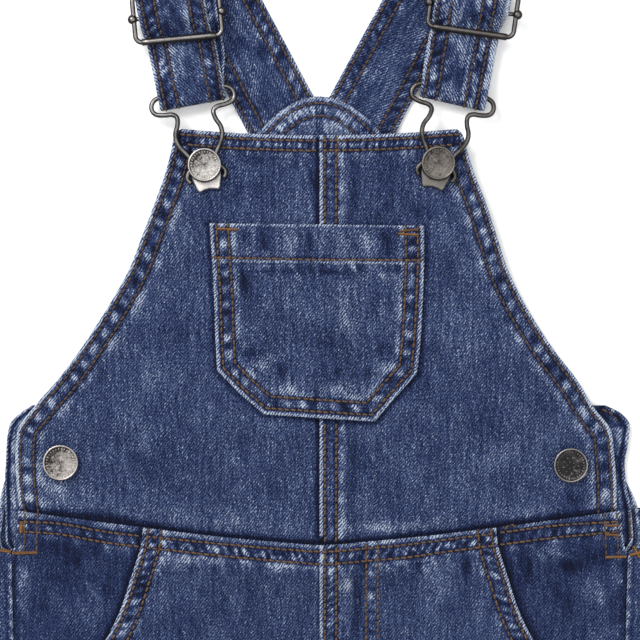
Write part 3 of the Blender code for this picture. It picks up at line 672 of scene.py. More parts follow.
def denim(name):
    fade, grainy = washes[name]
    material, wire, shader = startMaterial(
        "denim_" + name, {"Roughness": denimLook["roughness"], "Sheen Weight": 0.03,
                          "Sheen Roughness": 0.5, "Specular IOR Level": 0.1})
    grain = wire.node("UVMap", {"uv_map": "grain"})
    u, v = (part * (1 / grainScale) for part in grain.split())
    sin, cos = math.sin(denimLook["steep"]), math.cos(denimLook["steep"])
    over, along = v * cos - u * sin, u * cos + v * sin                  # across and along the twill lines
    wander = grain.noise((30.0, 30.0, 1.0), 1.0)
    twill = ((over + wander * 1.5) * (2 * math.pi / denimLook["twill"])).sine()
    lines = wire.node("CombineXYZ", {}, {0: over, 1: along})
    fleck = lines.noise((1.9, 0.8, 1.0), 2.0, 0.55)         # weft showing through
    dots = grain.noise((225.0, 130.0, 1.0), 1.0)            # single crossings
    slub = grain.noise((170.0, 22.0, 1.0), 2.0, 0.6)        # uneven warp threads
    streak = grain.noise((60.0, 6.0, 1.0), 2.0, 0.6)        # lines that run down the cloth
    blotch = grain.noise((5.5, 4.5, 1.0))                   # uneven wash
    # the attribute of darker places holds unfaded indigo and painted shade, such as the stitch grooves, the
    # strips beside overlying edges and the waist crease; the attribute of wear holds wear and a little
    # painted highlight
    worn, deep = wire.attribute("worn"), wire.attribute("deep")
    shade = (twill * (worn * 0.16 + 0.1) + (slub - 0.5) * 0.5 + (fleck - 0.5) * (worn * 0.15 + 0.85)
             + (dots - 0.5) * 0.85 + (streak - 0.5) * 0.4 + (blotch - 0.5) * 0.25) * grainy
    tone = fade + shade + worn * (fleck * 0.3 + 0.26) - deep * 0.36
    plug(wire.node("ValToRGB", {"stops": denimLook["stops"]}, {0: tone.clamp()}), shader, "Base Color")
    height = twill * 0.6 + (slub - 0.5) + (fleck - 0.5) * 1.2
    plug(height.bump(0.7, denimLook["relief"]), shader, "Normal")
    return material


def thread(name, colour):
    constants = {"Roughness": 0.6, "Sheen Weight": 0.1, "Specular IOR Level": 0.35}
    material, wire, shader = startMaterial(name, constants)
    tone = wire.attribute("tone")
    along, turn = wire.node("UVMap", {"uv_map": "twist"}).split()
    ply = (along * 6.5 + turn).sine()          # the twist of the yarn
    # the tone attribute holds each stitch's random tone with that painted shade and highlight
    mask = (tone * 0.28 + ply * 0.36 + 0.56).clamp()
    dark, light = (tuple(part * c for c in colour) for part in (0.24, 1.5))
    plug(mask.mixed((*dark, 1.0), (*light, 1.0)), shader, "Base Color")
    plug(ply.bump(0.6, 0.0001), shader, "Normal")
    return material


def nickel(name, light, dark, roughness):
    # tarnished nickel: bright on top, brown-grey and less metallic where its mask is high, which holds patina
    # in the hollows and painted shade
    material, wire, shader = startMaterial(name, {"Specular IOR Level": 0.3})
    spot = wire.node("TexCoord", out=3)
    smear = spot.noise((260.0, 260.0, 260.0), 4.0, 0.65)
    grit = spot.noise((1900.0, 1900.0, 1900.0))
    deep = wire.attribute("deep")
    mask = (deep * 0.95 + (smear - 0.5) * 0.9 + (grit - 0.5) * 0.7 + 0.1).clamp()
    plug((1.0 - deep * 0.75).clamp(), shader, "Metallic")
    plug(mask.mixed((*light, 1.0), (*dark, 1.0)), shader, "Base Color")
    plug((roughness + mask * 0.22 + (grit - 0.5) * 0.1).clamp(), shader, "Roughness")
    plug((grit + smear * 0.6).bump(0.35, 0.00006), shader, "Normal")
    return material


threadLook = {"orange": (84, 60, 35), "brown": (68, 50, 36), "bright": (106, 70, 26)}
metalLook = {  # where it is bright, where it is tarnished or in painted shade, roughness; each left and right pair is one nickel in a brighter and a darker copy, which is painted light
    "wire_left": ((153, 149, 147), (19, 17, 18), 0.28),
    "wire_right": ((118, 113, 110), (15, 13, 13), 0.32),
    "plate_left": ((216, 212, 209), (26, 23, 22), 0.5),
    "plate_right": ((124, 119, 115), (24, 21, 20), 0.45),
    "button_left": ((198, 194, 190), (32, 28, 27), 0.4),
    "button_right": ((128, 122, 117), (28, 25, 23), 0.42),
    "hip_left": ((190, 183, 179), (27, 23, 22), 0.4),
    "hip_right": ((146, 142, 141), (13, 12, 12), 0.42),
}
denims = {name: denim(name) for name in washes}
threads = {name: thread("thread_" + name, linear(*colour)) for name, colour in threadLook.items()}
metals = {name: nickel("nickel_" + name, linear(*light), linear(*dark), roughness)
          for name, (light, dark, roughness) in metalLook.items()}
print("materials ready")


def wear(piece, node=None):
    # ties a finished piece to the frame
    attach(piece, "root")
    if node:
        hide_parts(node)


later = []               # cloth panels, dressed when all that they rest on is there


def dress(piece, cut, restsOn, sewing):
    # a cloth panel: stands for its solid, which it hides, and takes its stitching along
    wear(piece, piece.name.removesuffix("_cloth"))
    for item in sewing:
        wear(item)


# bib and its pocket
pocket = {
    "edge": (  # height, half-width left, right
        (143.6, 49.3, 46.8), (127.0, 48.2, 47.0), (110.0, 47.3, 46.3), (94.0, 46.8, 45.5), (77.5, 45.9, 43.9),
        (67.0, 35.5, 34.4), (56.8, 25.0, 24.6),
    ),
    "tilt": 0.012, "bottomTilt": 0.065, "tiltFrom": 67.0, "top": 143.6, "corner": 77.5, "bottom": 56.8,
    "hemLine": 128.2, "hemStep": 126.6, "hemStitches": ((-48.6, 0.6), (-2.5, -0.4), (46.6, -0.6)),
    "rows": (2.9, 8.2), "cut": (0.097, 0.089, 0.0079),
    "bars": ((-45.8, 141.6, -36.6, 141.2, 1.3), (35.4, 139.4, 44.0, 138.8, 1.3),
             (35.8, 140.6, 43.4, 141.2, 0.9)),
    "creases": ((-37, 124, -33, 112, -0.4, 2.2), (-12.5, 126, -8, 118, 1.0, 1.0),
                (13, 127, 21, 118.5, 1.0, 1.0), (24, 126, 31, 117, 1.0, 1.1),
                (-24, 126.5, -19, 120, 0.8, 0.9), (34, 122, 37, 100, 0.4, 1.6), (-18, 92, 22, 86, -0.18, 7.0),
                (8, 112, 14, 92, 0.3, 2.6), (-30, 124, -31, 108, -0.3, 2.0), (1, 96, 2.5, 66, -0.35, 2.0)),
    "patches": ((-31.0, 136, 3.2, 6, 0.35), (-14.5, 135.5, 5.0, 6, 0.4), (0.6, 136, 2.6, 6, 0.3),
                (11, 136, 4.8, 6, 0.4), (21.5, 135.5, 4.6, 6, 0.45), (-24.5, 136.4, 4.8, 6.4, -0.55),
                (-4.7, 134.6, 3.4, 5.4, -0.5), (6, 134, 2.2, 3.0, -0.4), (14, 136, 2.4, 5, -0.3),
                (30.4, 136.4, 3.0, 6.4, -0.75), (16, 133.6, 2.0, 2.6, -0.6), (-33.8, 119, 1.9, 10.0, -0.65),
                (-33.2, 138, 1.8, 3.2, -0.6), (-38.6, 137, 1.0, 4.0, 0.5), (-30.0, 85.5, 3.8, 2.8, -0.75),
                (29.7, 86.1, 4.2, 3.4, -0.85), (-17.3, 78.6, 3.2, 4.4, -0.55), (-27.5, 78.2, 2.2, 2.0, -0.5),
                (6.5, 76.2, 3.6, 4.4, -0.6), (-1.6, 65.2, 1.4, 5.0, -0.8), (-18, 122.6, 9, 1.4, -0.8),
                (5, 122.4, 8, 1.3, -0.6), (17, 121.6, 5, 1.6, -0.4), (37, 123.8, 4.5, 1.5, -0.9),
                (22, 77, 3, 3.2, -0.6), (31, 74, 2.4, 3, -0.5), (-12, 70, 7, 3.4, 0.5), (9, 70, 6, 3.2, 0.5),
                (28, 79, 3.2, 3.6, 0.45), (12, 104, 5, 14, 0.2), (7, 90, 5, 8, -0.3), (-25, 80, 4, 3, 0.3),
                (-42, 100, 1.5, 14, -0.2)),
}


def pocketTilt(height):
    lower = ramp(height, pocket["tiltFrom"], pocket["bottom"])
    return pocket["tilt"] + (pocket["bottomTilt"] - pocket["tilt"]) * lower


def pocketOutline():
    # down the left side, along the foot and up the right side
    table = sorted(pocket["edge"])
    down, up = [(-left, h) for h, left, right in table[::-1]], [(right, h) for h, left, right in table]
    outline = np.array(down + up)
    outline[:, 1] -= pocketTilt(outline[:, 1]) * outline[:, 0]
    return outline


bib = {
    "edge": (  # height, half-width left, right
        (2.0, 133.4, 133.2), (15.0, 134.6, 133.4), (17.0, 134.9, 133.4), (28.0, 136.1, 133.2),
        (40.0, 136.6, 132.3), (50.0, 135.8, 131.2), (63.5, 127.1, 122.2), (74.0, 118.1, 116.1),
        (89.0, 106.9, 104.6), (101.0, 98.8, 96.5), (111.0, 92.3, 90.4), (125.0, 84.8, 83.9),
        (139.0, 79.4, 79.3), (153.0, 74.0, 74.7), (166.0, 69.4, 69.6), (176.4, 66.6, 66.3),
        (177.4, 66.4, 66.0), (184.7, 64.6, 63.7), (186.5, 61.7, 61.4),
    ),
    "top": 186.5, "smile": 2.9, "topHalf": 62.0, "armholeBand": 9.0, "topBand": 9.5,
    "creaseShadowWidth": curveThrough((  # across, how wide the painted shadow in the crease over the waist seam is
        (-134.0, 1.1), (-118.0, 2.3), (-98.0, 3.0), (-84.0, 2.3), (-60.0, 1.2), (-30.0, 1.5), (0.0, 1.7),
        (30.0, 1.2), (62.0, 1.3), (80.0, 1.6), (104.0, 2.4), (126.0, 2.0), (134.0, 1.2),
    )),
    "armholeRows": (2.3, 8.2), "topRows": (2.5, 6.9), "centreRows": (2.4, 7.4),
    "cut": {"left": (0.146, 0.200, 0.0221), "right": (0.134, 0.200, 0.0201)},
    "creases": {
        "left": ((-104, 13, -76, 8, -0.5, 2.6), (-40, 17, -36, 8, 0.35, 2.4), (-96, 60, -58, 30, 0.25, 7.0),
                 (-70, 26, -30, 44, -0.22, 8.0), (-22, 30, -16, 12, -0.3, 3.5),
                 (-60, 120, -66, 90, -0.2, 6.0), (-17.8, 176.5, -16.6, 169, 0.6, 0.8),
                 (-9.7, 176, -5.4, 163, 0.6, 1.0), (-41, 176, -39, 169, 0.5, 1.6),
                 (-12, 174, -10.5, 168, -0.3, 1.4), (-5.6, 164, -3.8, 145, 0.5, 0.8),
                 (-60, 150, -72, 108, 0.3, 5.0)),
        "right": ((96, 50, 62, 26, 0.25, 7.0), (60, 16, 68, 8, -0.4, 2.6), (108, 17, 124, 20, -0.4, 3.0),
                  (28, 40, 40, 14, -0.22, 6.0), (72, 110, 64, 78, 0.2, 6.0), (20, 176, 22, 168, 0.4, 1.2),
                  (33, 175, 32, 166, -0.4, 1.5)),
    },
    "patches": {
        "left": ((-28, 172.5, 9, 3.6, -0.6), (-62, 172, 10, 5, -0.3), (-2.6, 163, 2.2, 9, -0.55),
                 (-78, 38, 26, 14, -0.2), (-46, 150, 9, 14, -0.35), (-121, 23, 6, 10, 0.5),
                 (-104, 24, 8, 6, 0.25), (-56, 12, 20, 4, 0.15)),
        "right": ((30, 150, 10, 20, -0.22), (46, 150, 6, 4, -0.5), (70, 60, 20, 18, -0.15),
                  (15.0, 30, 1.8, 26, -0.5), (15.5, 158, 1.8, 14, -0.4), (125, 18, 4.6, 4, 0.5),
                  (112, 21, 7, 4, -0.4), (98, 12, 12, 3, 0.4), (30, 8, 22, 2.6, 0.45)),
    },
}


def bibSpot(side, away, height):
    # x and y of the bib at a distance from the centre and a row height
    x = side * away
    smile = bib["smile"] * np.minimum(0.0, (x / bib["topHalf"]) ** 2 - 1.0)
    y = height + (1.0 - ramp(height, garment["waistRise"], 110.0)) * (waist(x) - garment["waistRise"])
    return x, y + ramp(height, 110.0, 166.0) * smile


def makeBib(sideName, side):
    edge = curveThrough(bib["edge"], 1 if side < 0 else 2)
    right = side > 0
    heights = np.concatenate([tucked(2.0, 30.0, 0.9)[:-4], np.arange(29.6, 164.0, 0.95),
                              tucked(164.0, bib["top"], 0.7)[2:]])
    heights = np.unique(np.round(heights, 3))
    away = across(np.full(len(heights), 0.0 if right else -garment["lap"]), edge(heights), 140)
    x, y = bibSpot(side, away, heights[:, None])
    hipToTop = np.linspace(4.0, 184.5, 60)
    armhole = np.column_stack(bibSpot(side, edge(hipToTop), hipToTop))
    topAway = np.linspace(64.0, -1.0, 66)
    top = np.column_stack(bibSpot(side, topAway, np.full(66, bib["top"])))
    seams = [
        {"line": armhole, "rows": bib["armholeRows"], "beat": 7.6, "puff": 0.2, "reach": 2.0,
         "seed": 20 + side, "beyond": (2.6, 1.8, 0.4), "foldReach": 0.86},
        {"line": top[::5], "rows": bib["topRows"], "beat": 2.8, "puff": 0.15, "reach": 3.2,
         "lean": -0.15 * side, "seed": 30 + side},
    ]
    if right:
        seams.append({"line": ((0.0, 5.0), (0.0, 184.0)), "rows": bib["centreRows"], "beat": 4.4,
                      "puff": 0.08, "reach": 1.6, "seed": 40, "beyond": (2.5, 1.5, 0.6), "band": 0.45})
    # painted shadows beside the pocket's edge and, on the left, beside the centre fold
    paintedShadows = [(alongside(pocketOutline(), -0.9), 1.1, 0.65)]
    if not right:
        paintedShadows.append((((-0.9, 4.0), (-0.9, 185.0)), 1.0, 1.1))
    fine = reliefOf(seams, bib["creases"][sideName], bib["patches"][sideName], 0.22, 5 + side, paintedShadows)

    def relief(px, py):
        rise, worn, deep = fine(px, py)
        over = py - waist(px)                    # height above the waist seam
        hidden = glide(over, 1.0, -1.0)
        ripple = unevenWave(9.0, 61 + side)(px + 400.0)
        # painted shade in the trough above the waist seam, and a painted shadow line where the front's folded
        # edge lies over the bib
        dip = hump(np.maximum(over, 0.0), 2.6)
        creaseShadow = hump(np.maximum(over, 0.0), bib["creaseShadowWidth"](px))
        crest = hump(over - 6.0, 2.2)
        rise = rise * (1.0 - hidden) - 0.55 * dip + 0.22 * crest * (0.4 + ripple)
        # a little painted highlight on the crest above the trough
        worn = worn * (1.0 - creaseShadow) + 0.12 * crest * (0.45 + 0.55 * ripple)
        hipEdge = hump(nearest(px, py, armhole)[0], 2.2) * ramp(py, 68.0, 52.0) * ramp(py, 12.0, 20.0)
        return rise, worn + (1.2 if right else 0.85) * hipEdge, deep + 0.25 * dip + 1.5 * creaseShadow

    def low(px, py):
        return bibLow(px, py) + (lapRaise(px) if right else 0.0)

    def thick(px, py):
        armholeAway = nearest(px, py, armhole)[0]
        topAway = nearest(px, py, top)[0]
        turned = glide(armholeAway, bib["armholeBand"] + 0.7, bib["armholeBand"] - 0.7) * ramp(py, 14.0, 18.0)
        hemmed = glide(topAway, bib["topBand"] - 1.0, bib["topBand"] - 2.4)
        shown = 1.0 if right else ramp(-px, 0.0, 2.0)
        return wallWithHem(np.maximum(turned, hemmed * shown))

    panel, high = layPanel(f"bib_{sideName}", x, y, low, thick, relief, "bib")
    runs = []
    for row in bib["armholeRows"]:
        line = alongside(armhole, row * side)
        runs.append(onHeight(line[line[:, 1] < 184.0 - row * 0.9], high))
    brown = sewThreads(f"bib_{sideName}_armhole_stitches", runs, "brown", 100 + side)
    runs = []
    for row in bib["topRows"]:
        line = alongside(top, row * side)
        keep = (np.abs(line[:, 0]) < 65.0 - row * 0.75) & (side * line[:, 0] > (0.2 if right else 0.0))
        runs.append(onHeight(line[keep], high))
    if right:
        for row in bib["centreRows"]:
            for start, end in ((183.4, 143.5), (54.8, 1.0)):
                runs.append(onHeight(((row, start), (row, end)), high))
    orange = sewThreads(f"bib_{sideName}_stitches", runs, "orange", 110 + side)
    under = [f"back_bib_{sideName}_cloth", f"side_placket_{sideName}_cloth"]
    later.append((panel, bib["cut"][sideName], under, (brown, orange)))


for sideName, side in sides:
    makeBib(sideName, side)
print("bib made")


# bib pocket
def makePocket():
    at, left, right = np.array(sorted(pocket["edge"])).T
    heights = np.concatenate([tucked(pocket["bottom"], 100.0, 0.75)[:-3],
                              tucked(99.0, pocket["top"], 0.75)[3:], [pocket["corner"]]])
    heights = np.unique(np.round(heights, 3))
    x = across(-np.interp(heights, at, left), np.interp(heights, at, right), 118)
    y = heights[:, None] - pocketTilt(heights)[:, None] * x
    outline = pocketOutline()
    topLine = [outline[0], outline[-1]]
    seam = {"line": outline, "rows": pocket["rows"], "beat": 7.4, "puff": 0.17, "reach": 1.6, "seed": 71,
            "beyond": (2.0, 1.4, 0.4), "fold": 0.9, "foldReach": 0.68}
    fine = reliefOf([seam], pocket["creases"], pocket["patches"], 0.22, 15)

    def relief(px, py):
        rise, worn, deep = fine(px, py)
        away, along = nearest(px, py, topLine)
        worn = worn + 0.7 * glide(away, 1.6, 0.5) * (0.75 + 0.25 * unevenWave(5.0, 72)(along))
        step = py + pocket["tilt"] * px
        # painted shade in the groove of the hem's stitch row
        groove = hump(step - pocket["hemLine"], 0.6)
        lip = hump(step - pocket["hemStep"] - 0.2, 0.55)
        slow = unevenWave(6.0, 74)(px + 200.0)
        below = glide(step, pocket["hemStep"] - 0.4, pocket["hemStep"] - 1.2) * glide(step, 119.0, 125.0)
        rise = rise - 0.18 * groove + 0.12 * lip
        worn = worn + lip * (0.7 + 0.25 * slow) + 0.35 * below * np.maximum(slow, 0.0)
        return rise, worn, deep + 0.8 * groove + 0.9 * below * np.maximum(-slow, 0.0)

    def low(px, py):
        return bibLow(px, py) + layer + lapRaise(px)

    def thick(px, py):
        step = py + pocket["tilt"] * px
        return wallWithHem(glide(step, pocket["hemStep"] - 0.6, pocket["hemStep"] + 0.3))

    panel, high = layPanel("bib_pocket", x, y, low, thick, relief, "pocket")
    runs = [onHeight(alongside(outline, row), high) for row in pocket["rows"]]
    runs.append(onHeight([(a, pocket["hemLine"] + up) for a, up in pocket["hemStitches"]], high))
    sewn = sewThreads("bib_pocket_stitches", runs, "orange", 120)
    bars = sewBars("bib_pocket_tacks", pocket["bars"], high, 1, 121)
    later.append((panel, pocket["cut"], ["bib_left_cloth", "bib_right_cloth"], (sewn, bars)))


makePocket()
print("pocket made")


# front legs and pocket facings
leg = {
    "folds": (  # start, end (distance from the centre, height), rise, spread
        (14.0, -172.0, 72.0, -132.0, 1.6, 13.0), (20.0, -196.0, 96.0, -176.0, 1.9, 14.0),
        (128.0, -236.0, 62.0, -262.0, 1.8, 15.0), (38.0, -292.0, 112.0, -306.0, 1.5, 14.0),
        (122.0, -352.0, 66.0, -370.0, 1.3, 14.0),
    ),
    "waistRows": (  # across, first and second stitch row under the folded edge
        (-133.0, 4.6, 9.0), (-116.0, 3.2, 8.0), (-94.0, 4.2, 8.9), (-60.0, 3.4, 8.6), (0.0, 3.0, 8.5),
        (36.0, 3.1, 8.8), (63.0, 2.6, 8.0), (99.0, 2.5, 7.9), (133.0, 4.6, 9.2),
    ),
    "foldLight": curveThrough((  # across, how worn the folded edge over the bib is
        (-134.0, 0.7), (-122.0, 0.65), (-115.0, 0.2), (-103.0, 0.25), (-95.0, 0.8), (-84.0, 0.35),
        (-74.0, 0.8), (-60.0, 0.6), (-44.0, 0.3), (-30.0, 0.5), (-14.0, 0.35), (0.0, 0.6), (14.0, 0.5),
        (27.0, 0.85), (40.0, 0.5), (54.0, 0.8), (66.0, 0.4), (75.0, 0.55), (85.0, 0.3), (95.0, 0.6),
        (114.0, 0.3), (124.0, 0.4), (134.0, 0.6),
    )),
    "evenRows": (3.0, 8.5), "centreRows": (2.4, 7.4), "openingRows": (2.4, 8.4), "seamRows": (1.6, 7.0),
    "hemRow": 11.5, "hemBand": 13.0, "flyRows": (26.1, 20.9), "flyStraight": -72.0, "flyEnd": -104.0,
    "cut": {"left": (0.148, 0.430, 0.0533), "right": (0.140, 0.430, 0.0520)},
    "facingCut": (0.074, 0.109, 0.0053),
    "boxes": {  # columns of the box stitch, from and to, then the foot's height and its bar
        "left": (((126.4, 126.9), (132.1, 132.5)), -3.2, (126.6, -3.4, 137.6, -3.8, 1.5)),
        "right": (((127.4, 128.7), (133.0, 134.2)), -5.4, (128.4, -5.6, 137.4, -5.4, 1.5)),
    },
    "edgeLight": {"left": 0.7, "right": 1.3},
    "looseLoop": ((82.8, -1.6), (84.4, 0.2), (86.4, 0.3), (88.2, -1.4)),
    "endBars": {"left": ((133.6, 10.2, 133.9, 5.2, 2.0),),
                "right": ((128.0, 8.5, 134.2, 8.8, 1.1), (128.2, 4.6, 134.4, 4.2, 1.1))},
    "creases": {
        "left": ((-28, -12, -15, -36, 0.4, 1.5), (-33, -12, -30, -34, -0.3, 2.6),
                 (-56, -12, -50, -42, 0.25, 3.0), (-3.6, -7, -4.4, -17, -0.7, 1.1),
                 (-1.8, -12, -2.2, -44, 0.3, 1.6), (-72, -12, -70, -34, 0.3, 2.2),
                 (-120, -110, -70, -96, -0.6, 7.0), (-30, -120, -64, -88, 0.7, 6.0),
                 (-16, -148, -60, -118, -0.7, 5.0), (-100, -150, -58, -160, 0.6, 7.0),
                 (-90, -215, -30, -224, 0.7, 6.0), (-60, -240, -120, -222, -0.6, 7.0),
                 (-44, -268, -96, -284, 0.6, 6.0), (-118, -318, -60, -326, -0.5, 6.0),
                 (-50, -338, -110, -344, 0.6, 5.0), (-70, -388, -126, -380, 0.5, 6.0)),
        "right": ((17.6, -9.5, 17.0, -44, -1.0, 1.8), (12.4, -8, 12.8, -44, 0.5, 1.8),
                  (28, -8.6, 34.5, -12.4, 0.9, 0.9), (36.8, -8, 36.6, -17, -0.9, 0.9),
                  (57, -12, 50, -38, 0.25, 3.0), (42, -10, 44, -34, -0.3, 2.6), (68, -18, 73, -40, 0.3, 2.4),
                  (22.6, -14, 22.4, -44, -0.5, 1.0), (118, -104, 74, -92, -0.6, 7.0),
                  (26, -116, 66, -92, 0.7, 6.0), (18, -146, 58, -112, -0.7, 5.0),
                  (104, -146, 60, -154, 0.6, 7.0), (86, -212, 28, -220, 0.7, 6.0),
                  (64, -244, 122, -226, -0.6, 7.0), (40, -272, 92, -282, 0.6, 6.0),
                  (120, -322, 58, -330, -0.5, 6.0), (54, -342, 112, -348, 0.6, 5.0)),
    },
    "patches": {
        "left": ((-70.3, -7, 2.2, 3, 0.8), (-59, -6.8, 6, 2, 0.7), (-47, -7, 4, 2.2, 0.45),
                 (-36, -8, 3, 2.4, 0.35), (-18, -9.2, 4.2, 2.6, 0.7), (-9.5, -9, 2.6, 3, 0.5),
                 (-79.5, -19, 2.6, 7, -1.0), (-62, -36, 14, 9, -0.2), (-24, -42, 8, 10, -0.15)),
        "right": ((12.6, -18, 2.2, 3, 0.7), (22.7, -23.8, 1.3, 1.7, 1.0), (22.6, -33, 1.1, 2.0, 0.6),
                  (22.6, -13, 1.2, 2.0, 0.5), (53, -15, 8, 8, 0.2), (49, -9.4, 3, 1.8, 0.5),
                  (60, -9, 2.5, 3, 0.4), (65.6, -8.6, 2.2, 5.6, -0.8), (31, -17, 3, 4, -0.4),
                  (44, -9.5, 2, 2.4, -0.4), (20, -9.4, 3, 2.2, -0.6)),
    },
    "facingCreases": {
        "left": ((-106, -16, -95, -28, 0.45, 1.5), (-92, -8, -96, -30, -0.35, 2.0),
                 (-133, -12, -132, -36, 0.6, 2.0), (-120, -20, -110, -40, 0.35, 2.6),
                 (-126, -14, -122, -34, -0.35, 2.4), (-112, -46, -128, -60, 0.3, 3.0)),
        "right": ((99, 0, 118, -9, 0.7, 1.9), (119, -11, 131, -34, 0.45, 2.6),
                  (109, -14, 113, -36, -0.35, 3.0), (98, -14, 108, -32, 0.25, 2.4),
                  (133, -6, 132, -24, 0.4, 1.8), (122, -36, 134, -60, 0.35, 3.0),
                  (116, -40, 124, -62, -0.3, 3.0)),
    },
    "facingPatches": {
        "left": ((-114, -0.6, 12, 3.6, -0.7), (-91.5, -1.6, 4.2, 3.2, 0.6), (-110, -7.6, 4.4, 2.6, -0.7),
                 (-133, -13, 2.8, 5, 0.5), (-101, -9, 4, 3, 0.3), (-118, -14, 6, 4, -0.3),
                 (-104, -34, 8, 8, 0.2)),
        "right": ((97.5, -5, 5, 3, 0.4), (92.4, -10, 3, 8, -0.7), (113, -9.6, 6, 4, -0.8),
                  (125, -22, 6.5, 10, 0.18), (124, -5.4, 7, 3.4, -0.5), (104, -22, 5, 7, -0.3),
                  (129, -44, 6, 8, 0.2)),
    },
}


def legFold(x, y):
    total = np.zeros(np.shape(x))
    for startX, startY, endX, endY, rise, spread in leg["folds"]:
        fold = (startX, startY), (endX, endY)
        total = total + rise * hump(nearest(np.abs(x), y, fold)[0], spread)
    return total


def panelRows():
    # distances below the waist seam: close together near it, wider down the leg
    upper = tucked(0.0, 70.0, 0.9)[:-4]
    lower = tucked(70.0, -garment["hem"], 2.4)[4:]
    return np.concatenate([upper, lower])


def flyLine(row):
    # straight down from the waist, then round to the centre seam
    turn = leg["flyStraight"] + (row - leg["flyRows"][1]) * -0.9
    reach = row - leg["centreRows"][0]
    drop = turn - leg["flyEnd"] - (leg["flyRows"][0] - row) * 0.9
    bend = [(row - reach * (1 - math.cos(t)), turn - drop * math.sin(t))
            for t in np.linspace(0.0, math.pi / 2, 10)]
    return [(row, float(waist(row)) - 0.6), *bend]


firstRow = curveThrough(leg["waistRows"], 1)
secondRow = curveThrough(leg["waistRows"], 2)


def waistMarks(px, py, side, seam):
    # the two rows under the folded waist edge, at distances that vary along it
    away = waist(px) - py
    first, second = firstRow(px), secondRow(px)
    near, far = leg["evenRows"]
    beyond = near + (away - first) / (second - first) * (far - near)
    run = px + 300.0
    seam = {"rows": leg["evenRows"], "puff": 0.16, "lean": 0.5 * side, "fold": 0.0, **seam}
    up, light, dark = seamMarks(np.where(away < first, away / first * near, beyond), run, seam)
    # the fold itself, rubbed light in some stretches
    patchy = 0.75 + 0.35 * speckle(px, away * 2.0, 2.6, 66 + side) + 0.25 * unevenWave(4.6, 67 + side)(run)
    return up, light + leg["foldLight"](px) * glide(away, first * 0.95, first * 0.35) * patchy, dark


def waistStitches(start, end, count, high):
    xs = np.linspace(start, end, count)
    return [onHeight(np.column_stack([xs, waist(xs) - row(xs)]), high) for row in (firstRow, secondRow)]


